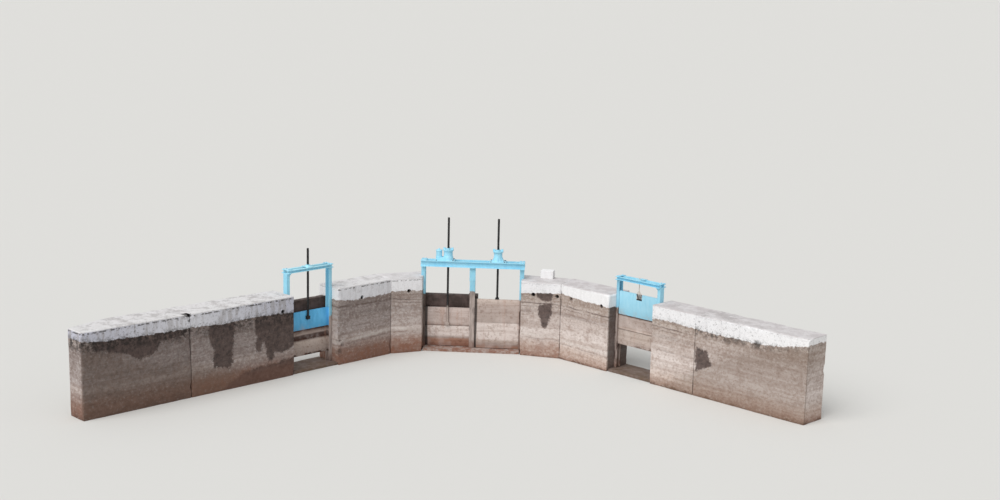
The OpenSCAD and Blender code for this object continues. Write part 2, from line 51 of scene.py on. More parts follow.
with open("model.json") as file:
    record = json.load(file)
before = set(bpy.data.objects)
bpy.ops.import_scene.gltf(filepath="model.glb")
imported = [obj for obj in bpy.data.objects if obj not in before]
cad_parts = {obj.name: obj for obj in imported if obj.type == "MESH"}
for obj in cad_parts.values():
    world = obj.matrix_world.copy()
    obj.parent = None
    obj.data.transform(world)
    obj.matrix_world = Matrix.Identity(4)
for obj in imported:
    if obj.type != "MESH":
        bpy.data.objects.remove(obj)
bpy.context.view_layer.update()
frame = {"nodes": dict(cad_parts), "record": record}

# Turn of each gate station and of the walls beside it, degrees about +Z
LEFT_TURN = 48.7
LEFT_INNER_TURN = 25.0
RIGHT_INNER_TURN = -11.0
RIGHT_TURN = -41.5

# The concrete blocks of the headwall, left to right: turn, then from 0 to 1 how warm the concrete is, how
# white its whitewash, how much lichen it has, how rusty it is low down and how much painted shade darkens
# its front. A pair is for the two ends.
WALLS = {
    "left_wing_wall_outer": (LEFT_TURN, 0.0, (0.0, 0.5), 1.0, 0.3, 0.5),
    "left_wing_wall_inner": (LEFT_TURN, 0.0, (0.5, 0.0), (0.7, 1.0), 0.7, 0.3),
    "left_link_wall_outer": (LEFT_TURN, 0.1, 0.65, 0.15, 0.9, 0.16),
    "left_link_wall_inner": (LEFT_INNER_TURN, 0.45, 0.85, 0.2, 1.0, 0.0),
    "right_link_wall_inner": (RIGHT_INNER_TURN, 0.8, 0.85, 0.35, 0.5, 0.0),
    "right_link_wall_outer": (RIGHT_TURN, 1.0, 1.0, 0.1, 0.12, 0.0),
    "right_wing_wall_inner": (RIGHT_TURN, 1.0, 0.9, 0.5, 0.0, 0.0),
    "right_wing_wall_outer": (RIGHT_TURN, 0.85, (0.85, 1.0), (1.0, 0.35), 0.2, 0.0),
}
# The walls with a groove for the guides of the centre opening
GROOVED = ("left_link_wall_inner", "right_link_wall_inner")
STATION_TURN = {"left": LEFT_TURN, "centre": 0.0, "right": RIGHT_TURN}

WALL_TOP = 1.6
# Mean height of the whitewash's lower edge, and height of the dark line of lichen on the left walls
LIME_LEVEL = 1.34
LICHEN_LEVEL = 1.558
# Height of the whitewash's lower edge along each wall, as (distance from its left end, height)
LIME_EDGE = {
    "left_wing_wall_outer": [(0.0, 1.43), (0.45, 1.37), (1.3, 1.35), (2.2, 1.33)],
    "left_wing_wall_inner": [(0.0, 1.34), (0.35, 1.32), (0.7, 1.30), (1.5, 1.32), (2.36, 1.27)],
    "left_link_wall_outer": [(0.0, 1.34), (0.35, 1.31), (0.9, 1.30), (1.39, 1.31)],
    "left_link_wall_inner": [(0.0, 1.33), (0.3, 1.34), (0.68, 1.31)],
    "right_link_wall_inner": [(0.0, 1.34), (0.23, 1.36), (0.85, 1.39)],
    "right_link_wall_outer": [(0.0, 1.40), (0.31, 1.37), (0.7, 1.35), (1.31, 1.33)],
    "right_wing_wall_inner": [(0.0, 1.32), (0.5, 1.34), (1.06, 1.30)],
    "right_wing_wall_outer": [(0.0, 1.31), (0.8, 1.29), (1.6, 1.31), (1.9, 1.34), (2.5, 1.47)],
}
# Outlines of the damp stains on the front faces, as (distance from the wall's left end, height)
STAINS = {
    "left_wing_wall_outer": [
        [(0.2, 1.44), (2.15, 1.36), (2.05, 1.24), (1.56, 1.19), (1.47, 0.98), (1.12, 0.94), (0.82, 1.09),
         (0.42, 1.2), (0.2, 1.25)],
    ],
    "left_wing_wall_inner": [
        [(0.55, -0.1), (0.8, 0.08), (1.1, 0.25), (1.5, 0.31), (2.0, 0.33), (2.45, 0.38), (2.45, -0.1)],
        [(0.40, 1.33), (0.98, 1.32), (0.96, 1.00), (0.90, 0.65), (0.93, 0.52), (0.83, 0.42), (0.50, 0.50),
         (0.47, 0.63), (0.51, 0.78), (0.43, 0.97), (0.38, 1.15)],
        [(1.47, 1.32), (2.40, 1.30), (2.40, 0.65), (2.21, 0.54), (2.06, 0.52), (1.91, 0.56), (1.82, 0.36),
         (1.75, 0.39), (1.70, 0.57), (1.66, 0.76), (1.63, 0.80), (1.55, 0.60), (1.46, 0.64), (1.45, 0.80),
         (1.48, 0.91), (1.43, 1.04)],
    ],
    "right_link_wall_inner": [
        [(0.35, 1.40), (0.67, 1.41), (0.68, 1.25), (0.60, 1.21), (0.45, 1.22), (0.36, 1.28)],
        [(0.38, 1.15), (0.67, 1.16), (0.67, 0.96), (0.63, 0.86), (0.60, 0.72), (0.53, 0.62), (0.47, 0.66),
         (0.42, 0.84), (0.37, 1.02)],
    ],
    "right_wing_wall_outer": [[(0.04, 0.98), (0.30, 0.92), (0.41, 0.66), (0.04, 0.5)]],
}
# Line down to which earth lay against the front of a wing, as (distance from its left end, height)
EARTH_LINE = {
    "left_wing_wall_outer": [(0.0, 1.31), (0.47, 1.18), (0.92, 1.00), (1.5, 0.84), (2.21, 0.75)],
    "left_wing_wall_inner": [
        (0.0, 0.68), (0.34, 0.57), (0.81, 0.39), (1.16, 0.29), (1.69, 0.08), (2.36, -0.1)],
    "right_wing_wall_inner": [(0.0, -0.1), (0.35, 0.08), (0.71, 0.30), (1.06, 0.52)],
    "right_wing_wall_outer": [(0.0, 0.54), (0.41, 0.83), (0.87, 1.02), (1.54, 1.28), (2.5, 1.48)],
}
# Height of a dark and of a pale water line along a wall, as (distance from the wall's left end, height)
WATER_LINES = {
    "left_link_wall_outer": ([(0.0, 1.20), (1.39, 1.18)], [(0.0, 0.46), (0.5, 0.49), (1.39, 0.55)]),
    "left_link_wall_inner": ([(0.0, 1.18), (0.68, 1.12)], [(0.0, 0.55), (0.68, 0.47)]),
    "right_link_wall_inner": ([(0.0, 1.15), (0.85, 1.15)], [(0.0, 0.48), (0.85, 0.45)]),
    "right_link_wall_outer": ([(0.0, 1.15), (1.31, 1.13)], [(0.0, 0.40), (1.31, 0.36)]),
    "right_wing_wall_inner": ([(0.0, 1.19), (1.06, 1.18)], [(0.0, 0.80), (1.06, 0.78)]),
}
# Places where concrete has broken out of a front, as (distance from the wall's left end, height, reach,
# depth, share of the reach that is flat and darkened as painted shade)
GOUGES = {
    "left_wing_wall_outer": [
        (2.20, 1.60, 0.11, 0.06, 0.1), (2.21, 1.47, 0.07, 0.03, 0.05), (2.21, 1.3, 0.05, 0.02, 0.05)],
    "left_wing_wall_inner": [(0.0, 1.60, 0.07, 0.05, 0.0)],
    "left_link_wall_outer": [
        (0.03, 0.50, 0.05, 0.02, 0.1), (0.09, 0.41, 0.05, 0.018, 0.05), (0.03, 0.28, 0.07, 0.02, 0.05),
        (0.05, 0.13, 0.10, 0.02, 0.0)],
    "right_wing_wall_outer": [(1.40, 1.27, 0.10, 0.028, 0.1)],
}
# Reach, depth and flat share of the round blind holes under the whitewash, whose flat floor is darkened as
# painted shade
WEEP_HOLE = (0.04, 0.075, 0.6)
# A line below every wall, for walls without a mark, and the largest value that a mark's field takes
BELOW = [(0, -3)]
FAR = 4.0
# Fields of the whitewashed block on the right wall, the same all over
BLOCK_FIELDS = {"lime": FAR, "damp": -FAR, "earth": -FAR, "white": 1.0, "warm": 1.0, "tide": 3.0, "pale": 3.0}

# Colours of cool and of warm concrete, as (share of the wall's height, sRGB colour)
CONCRETE_BANDS = (
    [
        (0.0, (84, 64, 56)), (0.05, (128, 102, 92)), (0.16, (150, 126, 116)), (0.25, (168, 150, 143)),
        (0.33, (194, 181, 175)), (0.41, (174, 162, 158)), (0.62, (166, 155, 151)), (0.76, (152, 140, 136)),
        (0.9, (178, 168, 163)),
    ],
    [
        (0.0, (122, 96, 82)), (0.03, (190, 165, 152)), (0.12, (219, 201, 190)), (0.24, (222, 209, 202)),
        (0.34, (228, 216, 210)), (0.50, (210, 196, 189)), (0.66, (200, 186, 178)), (0.80, (190, 175, 165)),
        (1.0, (194, 182, 174)),
    ],
)

# Vertices within TOUCH of a level or face are on it, and those CLEAR inside both faces lie between them
TOUCH = 1e-4
CLEAR = 0.01
# Distances between a block's points: along it, on its faces, and close to its edges and to its holes
ALONG_STEP = 0.03
FACE_STEP = 0.035
EDGE_STEP = 0.008
FINE_STEP = 0.009
# How far from an edge the points lie closer together, and how far from a hole's middle, in its reaches
EDGE_REACH = 0.055
HOLE_MARGIN = 1.4
# Height, half width and step of the closer points at the whitewash's lower edge
LIME_POINTS = (LIME_LEVEL, 0.08, 0.014)
# Smallest radius of a worn edge, and how far behind the front a hole still pushes points back
LEAST_RADIUS = 0.004
FRONT_SKIN = 0.02
# Angles in degrees over which an edge of the concrete, of the steel and of a small part is shaded sharp
CONCRETE_SHARP = 50.0
STEEL_SHARP = 35.0
SMALL_SHARP = 30.0
# Bevels of the passages' concrete and of the castings
PASSAGE_BEVEL = 0.008
CAST_BEVEL = 0.003
# Bolts: distance from the edges, distance between the two of a pair, and thickness of a hoist's base plate
BOLT_INSET = 0.03
BOLT_SPREAD = 0.06
HOIST_BASE = 0.015
# How far a stem's thread reaches down into its foot
THREAD_SINK = 0.02
# The hanger's wire: strands, their turns, how far they start inside the bar and in from its ends
STRANDS = 15
STRAND_TWISTS = 2.5
STRAND_SINK = 0.006
STRAND_INSET = 0.007
# A strand's radius as a share of the rod's, its sway to the side and the sway's rate along the wire
STRAND_SHARE = 0.45
SWAY = 0.004
SWAY_RATE = 14
# Going down, the strands fan out, and the twist widens by LOOSENESS, between these shares of its height
FAN_SHARES = (0.45, 0.23)
LOOSE_SHARES = (0.44, 0.36)
LOOSENESS = 0.008


def srgb(red, green, blue):
    """Linear colour of an sRGB colour given as numbers up to 255."""
    channels = np.array((red, green, blue)) / 255
    linear = np.where(channels <= 0.04045, channels / 12.92, ((channels + 0.055) / 1.055) ** 2.4)
    return tuple(float(c) for c in linear)


# Numbers that a surface is worked out from


def lattice_noise(points, seed=0):
    """Smooth noise from -1 to 1: random numbers on the corners of a unit lattice, eased between."""
    cell = np.floor(points).astype(np.int64)
    ease = points - cell
    ease = ease * ease * (3 - 2 * ease)
    total = np.zeros(len(points))
    for corner in range(8):
        step = np.array([corner & 1, corner >> 1 & 1, corner >> 2 & 1])
        key = cell + step
        mixed = (key[:, 0] * 73856093) ^ (key[:, 1] * 19349663) ^ (key[:, 2] * 83492791) ^ (seed * 2654435761)
        mixed = (mixed ^ (mixed >> 13)) * 1274126177 & 0xFFFFFFFF
        value = (mixed ^ (mixed >> 16)) % 65536 / 32767.5 - 1
        total += value * np.prod(np.where(step == 1, ease, 1 - ease), axis=1)
    return total


def rough_noise(points, scale, octaves=4, seed=0):
    """Sum of lattice noises, each twice as fine and half as strong as the last."""
    total = np.zeros(len(points))
    for k in range(octaves):
        total += lattice_noise(points * scale * 2**k + 17.3 * k, seed + k) / 2**k
    return total / (2 - 0.5 ** (octaves - 1))


def smooth(low, high, value):
    """0 below low and 1 above high, eased between."""
    share = np.clip((value - low) / (high - low), 0, 1)
    return share * share * (3 - 2 * share)


def stations(low, high, step, fine=()):
    """Sorted places from low to high, step apart, and closer in each fine stretch (centre, half, step)."""
    count = max(1, round((high - low) / step))
    places = [np.linspace(low, high, count + 1)]
    for centre, half, small in fine:
        inside = np.arange(centre - half, centre + half + small / 2, small)
        places.append(inside[(inside > low) & (inside < high)])
    merged = np.unique(np.round(np.concatenate(places), 5))
    keep = np.concatenate(([True], np.diff(merged) > 0.003))
    keep[-1] = True
    return merged[keep]


def welded(points, quads):
    """One index for each distinct point. A quad with equal corners becomes a triangle or is dropped."""
    _, first, index = np.unique(np.round(points, 6), axis=0, return_index=True, return_inverse=True)
    quads = index.reshape(-1)[quads]
    same = quads == np.roll(quads, -1, axis=1)
    whole = quads[~same.any(axis=1)]
    crossed = (whole[:, 0] == whole[:, 2]) | (whole[:, 1] == whole[:, 3])
    faces = whole[~crossed].tolist()
    single = same.sum(axis=1) == 1
    for k in range(4):
        some = quads[single & same[:, k]]
        faces += np.delete(some, k, axis=1).tolist()
    return points[first], [f for f in faces if len(set(f)) == len(f)]


def grid_quads(rows, columns, start=0):
    """Corner indices of the quads of a grid whose points are numbered row by row."""
    index = np.arange(rows * columns).reshape(rows, columns) + start
    corners = (index[:-1, :-1], index[:-1, 1:], index[1:, 1:], index[1:, :-1])
    return np.stack([c.ravel() for c in corners], axis=1)


def piece(name, points, faces, material=None, sharp=40.0):
    """A mesh object at the origin, shaded smooth up to an angle, with its faces pointing out."""
    mesh = bpy.data.meshes.new(name)
    mesh.from_pydata(points.tolist(), [], faces)
    if material:
        mesh.materials.append(material)
    work = bmesh.new()
    work.from_mesh(mesh)
    bmesh.ops.recalc_face_normals(work, faces=work.faces)
    if work.calc_volume(signed=True) < 0:
        bmesh.ops.reverse_faces(work, faces=work.faces)
    work.to_mesh(mesh)
    work.free()
    finish_shading(mesh, sharp)
    return linked(name, mesh)


def linked(name, data):
    """A new object for a mesh, a camera or a lamp, linked to the scene."""
    made = bpy.data.objects.new(name, data)
    bpy.context.scene.collection.objects.link(made)
    return made


def finish_shading(mesh, sharp):
    """Smooth shading with edges kept sharp above an angle in degrees."""
    mesh.polygons.foreach_set("use_smooth", np.ones(len(mesh.polygons), dtype=bool))
    mesh.set_sharp_from_angle(angle=math.radians(sharp))


def fit(made, body, slot, *nodes):
    """Ties a finished piece to its body and hides the nodes that it stands for. slot is not used."""
    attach(made, body)
    if nodes:
        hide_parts(*nodes)


def body_of_node(node):
    """The moving or fixed body that holds a node."""
    for body, members in frame["record"]["behaviour"]["bodies"].items():
        if node in members:
            return body
    raise ValueError(f"no body holds {node}")


def vertex_array(mesh):
    """A mesh's vertices as one array."""
    flat = np.zeros(3 * len(mesh.vertices))
    mesh.vertices.foreach_get("co", flat)
    return flat.reshape(-1, 3)


def node_points(node, turn=0.0):
    """A node's vertices, with x and y along and across a row turned by some degrees."""
    return turned(vertex_array(frame["nodes"][node].data), -turn)


def corners_of(points):
    """Lowest and highest corner of the box round points."""
    return points.min(axis=0), points.max(axis=0)


def turned(points, degrees):
    """Points turned about +Z."""
    c, s = math.cos(math.radians(degrees)), math.sin(math.radians(degrees))
    x, y, z = points.T
    return np.stack([x * c - y * s, x * s + y * c, z], axis=1)


# Materials, each a short graph of nodes on Object coordinates


class Graph:
    """A node material under construction. Most methods add a node or more and return an output socket."""

    def __init__(self, name, roughness, specular=0.35, metallic=0.0):
        self.material = bpy.data.materials.new(name)
        self.material.use_nodes = True
        self.tree = self.material.node_tree
        self.shader = self.tree.nodes["Principled BSDF"]
        values = {"Roughness": roughness, "Metallic": metallic, "Specular IOR Level": specular}
        for key, value in values.items():
            self.shader.inputs[key].default_value = value
        self.place = self.node("TexCoord").outputs["Object"]

    def node(self, kind, inputs=None, **options):
        """A shader node with its options, and with the values or links of its inputs by name or number."""
        made = self.tree.nodes.new("ShaderNode" + kind)
        for key, value in options.items():
            setattr(made, key, value)
        for key, value in (inputs or {}).items():
            self.feed(made.inputs[key], value)
        return made

    def feed(self, socket, value):
        """Links an input to a socket, or sets it to a number, a vector or a colour."""
        if isinstance(value, bpy.types.NodeSocket):
            self.tree.links.new(value, socket)
        elif hasattr(value, "__len__") and len(value) == 3 and socket.type == "RGBA":
            socket.default_value = (*value, 1)
        else:
            socket.default_value = value

    def math(self, operation, *values):
        return self.node("Math", dict(enumerate(values)), operation=operation).outputs[0]

    def plus(self, total, *others):
        for other in others:
            total = self.math("ADD", total, other)
        return total

    def times(self, product, *others):
        for other in others:
            product = self.math("MULTIPLY", product, other)
        return product

    def minus(self, a, b):
        return self.math("SUBTRACT", a, b)

    def swing(self, noise, reach):
        """A noise about 0.5 turned into one about 0, as wide as reach."""
        return self.times(self.minus(noise, 0.5), reach)

    def noise(self, scale, detail, roughness=0.55, stretch=None):
        """Noise of the place. stretch is the scale of the place in plan and upwards."""
        place = self.place
        if stretch:
            plan, up = stretch
            place = self.node("Mapping", {"Vector": place, "Scale": (plan, plan, up)}).outputs[0]
        inputs = {"Vector": place, "Scale": scale, "Detail": detail, "Roughness": roughness}
        return self.node("TexNoise", inputs).outputs["Fac"]

    def span(self, value, low, high, end=1.0, start=0.0):
        """From start at low to end at high, eased between. low may be above high."""
        inputs = dict(enumerate((value, low, high, start, end)))
        return self.node("MapRange", inputs, interpolation_type="SMOOTHSTEP").outputs[0]

    def mix(self, share, a, b, blend="MIX"):
        inputs = {"Factor": share, 6: a, 7: b}
        return self.node("Mix", inputs, data_type="RGBA", blend_type=blend).outputs[2]

    def coats(self, colour, *coats):
        """A colour with others laid over it in turn, each given as (share, colour)."""
        for share, coat in coats:
            colour = self.mix(share, colour, coat)
        return colour

    def field(self, name):
        """A field that the piece's vertices hold."""
        return self.node("Attribute", attribute_name=name).outputs["Fac"]

    def axis(self, name):
        """X, Y or Z of the place."""
        return self.node("SeparateXYZ", {0: self.place}).outputs[name]

    def bands(self, value, stops):
        """Colours at places along a value, blended between."""
        made = self.node("ValToRGB", {"Fac": value})
        ramp = made.color_ramp
        while len(ramp.elements) < len(stops):
            ramp.elements.new(1.0)
        for element, (place, colour) in zip(ramp.elements, stops):
            element.position = place
            element.color = (*colour, 1)
        return made.outputs["Color"]

    def bump(self, height, distance, strength):
        made = self.node("Bump", {"Strength": strength, "Distance": distance, "Height": height})
        self.feed(self.shader.inputs["Normal"], made.outputs[0])

    def done(self, colour, roughness=None):
        """The material, with its colour and, where it varies, its roughness linked to the shader."""
        self.feed(self.shader.inputs["Base Color"], colour)
        if roughness is not None:
            self.feed(self.shader.inputs["Roughness"], roughness)
        return self.material


def headwall_concrete(tints):
    """Board-marked concrete in bands by height, under whitewash, damp stains, old earth and painted shade."""
    g = Graph("headwall concrete", roughness=0.9, specular=0.2)
    white, dirt, warm_share, top = (g.field(name) for name in ("white", "dirt", "warm", "top"))
    chill = g.minus(1.0, warm_share)
    patches = g.noise(4.5, 6, 0.65)
    fine = g.noise(20, 7, 0.72, stretch=(0.85, 1.15))
    grain = g.noise(95, 4, 0.7)
    lines = g.noise(3.5, 6, 0.65, stretch=(0.13, 3.6))
    level = g.plus(g.axis("Z"), g.swing(patches, 0.24))
    share = g.math("DIVIDE", level, WALL_TOP)
    cool, warm = (g.bands(share, [(place, srgb(*rgb)) for place, rgb in bands]) for bands in CONCRETE_BANDS)
    bare = g.mix(warm_share, cool, warm)
    darker = g.mix(1.0, bare, tints.silt_line, "MULTIPLY")
    bare = g.coats(
        bare,
        (g.span(lines, 0.44, 0.60, 0.45), darker),
        (g.span(patches, 0.50, 0.66, 0.55), darker),
        (g.span(fine, 0.50, 0.60, 0.65), darker),
        (g.span(fine, 0.46, 0.36, 0.35), tints.pale_grain),
    )

    # Level marks of the water: (line, how far below it, half width, strength, colour)
    shaken = g.swing(g.noise(6, 5), 0.07)
    tide, pale = (g.plus(g.field(name), shaken) for name in ("tide", "pale"))
    broken = g.span(g.noise(3.2, 4), 0.36, 0.56, 0.8, start=0.15)
    for line, below, half, strength, tint in (
        (tide, 0.0, 0.018, 0.8, tints.damp), (tide, 0.065, 0.014, 0.5, tints.damp),
        (tide, 0.18, 0.06, 0.3, tints.damp), (pale, 0.0, 0.045, 0.5, tints.pale_grain),
        (pale, 0.07, 0.02, 0.35, tints.damp),
    ):
        away = g.math("ABSOLUTE", g.plus(line, below))
        bare = g.mix(g.times(g.span(away, half, half * 0.3, strength), broken), bare, tint)

    # Rust low down, old earth and damp stains; the stain colour also serves as painted shade on the left
    # fronts
    low = g.times(g.span(level, 0.46, 0.14), g.field("rusty"))
    rusty = g.times(g.span(g.noise(8, 7, 0.75), 0.46, 0.56), low)
    wave = g.plus(g.swing(g.noise(24, 7, 0.72), 3.2), g.swing(g.noise(7, 3), 2.0))
    earth = g.span(g.plus(g.field("earth"), wave), -1.0, 1.4)
    damp = g.span(g.plus(g.field("damp"), wave), -0.5, 0.4)
    cloudy = g.noise(11, 7, 0.75)
    stain = g.coats(
        tints.damp,
        (g.span(lines, 0.44, 0.62, 0.3), tints.damp_dark_and_shade),
        (g.times(chill, 0.35), tints.damp_dark_and_shade),
        (g.span(cloudy, 0.50, 0.60, 0.6), tints.soot_and_shade),
        (g.span(cloudy, 0.46, 0.36, 0.35), tints.dark_silt_and_shadow),
        (g.times(low, 0.5), tints.rust_wash),
    )

    # Whitewash, ragged along its lower edge, with lichen that is thick on the cold left walls
    ragged = g.plus(g.field("lime"), g.swing(g.noise(15, 6), 1.6))
    lime = g.span(ragged, -0.12, 0.14)
    blots = g.plus(g.noise(13, 7, 0.75), g.times(dirt, 0.04))
    blots = g.times(g.span(blots, 0.49, 0.59), dirt)
    reach = g.times(ragged, g.minus(1.0, g.times(chill, 0.5)))
    mottle = g.times(g.span(reach, -2.6, -0.5), blots)
    bare = g.coats(
        bare,
        (g.times(low, 0.55), g.mix(low, tints.rust_pale, tints.rust_wash)),
        (g.times(rusty, 0.85), tints.rust_wash),
        (g.times(earth, 0.42), tints.earth),
        # Painted shade: the dark field darkens the fronts of the left walls with the stain colour
        (g.times(g.field("dark"), g.span(cloudy, 0.3, 0.6, 1.0, start=0.75)), stain),
        (g.times(damp, 0.92), stain),
        (g.times(mottle, 0.85), g.mix(chill, tints.lichen, tints.soot_and_shade)),
        # Painted shade on the right end face of the right link wall, in damp colours
        (g.times(g.field("shade"), 0.8), g.mix(0.6, tints.damp, tints.damp_dark_and_shade)),
    )
    scoured = g.span(g.noise(6, 8, 0.75, stretch=(0.7, 0.7)), 0.47, 0.60, 0.55)
    upper = g.coats(
        g.mix(0.25, tints.whitewash, tints.bare_top),
        (warm_share, tints.worn_top),
        (g.span(patches, 0.42, 0.60, 0.7), g.mix(0.5, tints.whitewash, tints.worn_top)),
        (g.times(scoured, g.math("MAXIMUM", chill, dirt)), tints.bare_top),
    )
    drips = g.noise(9, 5, 0.65, stretch=(1.0, 0.22))
    streak = g.times(g.span(drips, 0.48, 0.62), g.span(white, 1.0, 0.1, 0.6, start=0.08))
    blemish = g.span(g.noise(7, 7, 0.75), 0.54, 0.66, 0.5)
    feet = g.times(g.span(ragged, 1.7, 0.0), blots)
    dots = g.times(g.span(g.noise(24, 6, 0.75), 0.57, 0.62), dirt, g.span(top, 0.0, 1.0, 0.3, start=1.0))
    dash = g.span(g.math("ABSOLUTE", g.minus(g.axis("Z"), LICHEN_LEVEL)), 0.018, 0.008)
    coat = g.coats(
        tints.whitewash_grey,
        (white, tints.whitewash),
        (streak, tints.bare_top),
        (top, upper),
        (g.times(blemish, g.span(white, 1.0, 0.4, 1.0, start=0.15)), tints.bare_top),
        (g.times(feet, 0.6), tints.lichen),
        (g.times(dots, 0.75), tints.lichen),
        (g.times(dash, chill, g.span(g.noise(15, 3), 0.48, 0.54, 0.85)), tints.lichen),
    )
    colour = g.coats(
        bare,
        (lime, coat),
        (g.span(grain, 0.30, 0.72, 0.0, start=0.22), tints.lichen),
        # Painted shade at the bottom of the holes
        (g.field("hole"), tints.soot_and_shade),
    )
    g.bump(g.plus(g.times(grain, 0.4), g.times(lines, 0.4), fine, g.times(lime, 0.3)), 0.006, 0.8)
    wet = g.math("MAXIMUM", damp, g.span(level, 0.09, 0.0))
    return g.done(colour, g.minus(0.92, g.times(wet, 0.2)))


def shaded_concrete(name, tints, mud=0.0, mud_dark=None, mud_pale=None):
    """Dark, wet concrete of the passages, darkened further as painted shade: nearly black streaks over brown,
    under a share of mud.
    """
    g = Graph(name, roughness=0.7, specular=0.3)
    drips = g.noise(8, 5, stretch=(1.0, 0.15))
    blots = g.noise(5, 6)
    clots = g.span(g.noise(9, 7, 0.7), 0.42, 0.60)
    colour = g.coats(
        tints.damp_dark_and_shade,
        (g.span(blots, 0.35, 0.65), tints.damp),
        (g.span(drips, 0.58, 0.72, 0.35), tints.silt),
        (g.span(g.axis("Z"), 0.12, 0.0), tints.damp_dark_and_shade),
        (mud, g.mix(clots, mud_dark or tints.earth, mud_pale or tints.dark_silt_and_shadow)),
    )
    g.bump(g.plus(g.noise(60, 4), blots), 0.004, 0.7)
    return g.done(colour, g.span(drips, 0.3, 0.7, 0.85, start=0.55))


def brushed_paint(name, tints, silt_line=-1.0, tone=(1.0, 1.0, 1.0), rust=0.25, silt_and_shade_coats=()):
    """Light blue paint brushed on by hand. Below the silt line it is worn off under dry silt and rust.

    The last argument lists coats over that silt, as (share, colour); on the centre left guide the coat is
    painted shade in its slot.
    """
    g = Graph(name, roughness=0.42, specular=0.5)
    brush = g.noise(16, 4, stretch=(1.0, 0.3))
    warped = g.plus(g.axis("Z"), g.swing(g.noise(7, 5), 0.16))
    silted = g.span(warped, silt_line + 0.02, silt_line - 0.03)
    dirt = g.coats(
        tints.dark_silt_and_shadow,
        (g.span(g.noise(34, 4, stretch=(1.0, 0.06)), 0.44, 0.60), tints.silt),
        (g.span(g.noise(13, 5, stretch=(1.0, 0.3)), 0.46, 0.60, 0.85), tints.dark_rust_and_shadow),
        # Coats from the last argument: more silt, and on the centre left guide painted shade
        *silt_and_shade_coats,
        (g.span(warped, 0.26, 0.12, 0.4), tints.rust_wash),
    )
    base = g.mix(1.0, tints.blue, tone, "MULTIPLY")
    chips = g.span(g.noise(38, 6, 0.7), 0.66, 0.70)
    colour = g.coats(
        base,
        (g.span(brush, 0.38, 0.68), g.mix(1.0, base, (0.86, 0.91, 0.95), "MULTIPLY")),
        (g.span(g.noise(3.2, 5), 0.45, 0.68, 0.4), g.mix(0.4, base, tints.blue_chalk)),
        (g.times(chips, rust), tints.rust),
        (silted, dirt),
    )
    g.bump(g.plus(g.times(brush, 0.3), g.times(silted, g.noise(80, 5))), 0.0015, 0.7)
    return g.done(colour, g.plus(g.span(brush, 0.3, 0.7, 0.5, start=0.36), g.times(silted, 0.42)))


def silted_plate(name, tints, stops, paint=None, shadow_edge=None):
    """Leaf plate: dry silt in bands by height, with painted shadow lines among them, paint over its line, and
    a painted shadow strip along one edge.

    stops are (height, colour), paint is (line, colour, colour low down), and the last argument is the
    strip's place along x.
    """
    g = Graph(name, roughness=0.85, specular=0.25)
    patches = g.noise(4, 6, 0.6)
    marks = g.noise(5, 5, stretch=(0.15, 4.0))
    drips = g.noise(12, 5, stretch=(1.0, 0.12))
    bottom, top = stops[0][0], stops[-1][0]
    near_foot = g.plus(g.times(g.span(g.axis("Z"), bottom + 0.28, bottom), 7.0), 1.0)
    height = g.plus(g.axis("Z"), g.times(g.swing(g.noise(5, 5), 0.03), near_foot))
    silt = g.bands(g.math("DIVIDE", height, top), [(z / top, colour) for z, colour in stops])
    darker = g.mix(1.0, silt, tints.silt_line, "MULTIPLY")
    colour = g.coats(
        silt,
        (g.span(marks, 0.46, 0.62, 0.35), darker),
        (g.span(g.noise(16, 7, 0.75), 0.50, 0.62, 0.7), darker),
        (g.span(patches, 0.50, 0.66, 0.25), tints.leaf_silt),
        (g.span(drips, 0.54, 0.68, 0.3), tints.rust_pale),
    )
    # Painted shadow: a dark strip down the left edge of a centre leaf, the shade in the slot beside it
    if shadow_edge is not None:
        away = g.math("ABSOLUTE", g.minus(g.axis("X"), shadow_edge))
        strip = g.span(g.plus(away, g.swing(drips, 0.05)), 0.055, 0.03, 0.85)
        colour = g.mix(strip, colour, tints.soot_and_shade)
    painted = 0.0
    if paint:
        line, upper, lower = paint
        painted = g.span(g.axis("Z"), line - 0.005, line + 0.005)
        film = g.times(g.span(patches, 0.44, 0.60, 0.45), g.span(height, line + 0.16, line))
        coat = g.coats(
            upper,
            (g.span(g.noise(14, 4, stretch=(1.0, 0.3)), 0.35, 0.7), lower),
            (g.span(height, line + 0.2, line), lower),
            (film, tints.silt),
            (g.span(g.noise(34, 6), 0.67, 0.71, 0.4), tints.rust),
        )
        colour = g.mix(painted, colour, coat)
    g.bump(g.plus(g.times(g.noise(90, 5), 0.5), marks), 0.002, 0.6)
    return g.done(colour, g.minus(0.88, g.times(painted, 0.4)))


def greased_screw(name, tints, silt_line=-1.0):
    """Black greased steel with grit caught in the thread, and silted over below a line."""
    g = Graph(name, roughness=0.4, specular=0.5, metallic=0.3)
    level = g.plus(g.axis("Z"), g.times(g.noise(9, 4), 0.2))
    silted = g.times(g.span(level, silt_line + 0.14, silt_line + 0.06), 0.9)
    grit = g.span(g.noise(45, 5, stretch=(1.0, 0.4)), 0.55, 0.72, 0.6)
    g.bump(g.noise(120, 4), 0.0006, 0.6)
    colour = g.coats(tints.grease, (grit, tints.grit), (silted, tints.silt))
    return g.done(colour, g.span(g.noise(20, 4), 0.35, 0.65, 0.6, start=0.3))


def old_wire(tints, dark_below):
    """Pale weathered wire with rust between the strands, and nearly black as painted shade where it hangs in
    the notch.
    """
    g = Graph("old wire", roughness=0.7)
    rusty = g.span(g.noise(60, 5), 0.54, 0.7, 0.6)
    # Painted shade where the wire hangs in the notch
    dark = g.span(g.axis("Z"), dark_below + 0.015, dark_below - 0.01)
    g.bump(g.noise(200, 3), 0.0004, 0.5)
    return g.done(g.coats(tints.wire, (rusty, tints.rust), (dark, tints.soot_and_shade)))


# Shapes


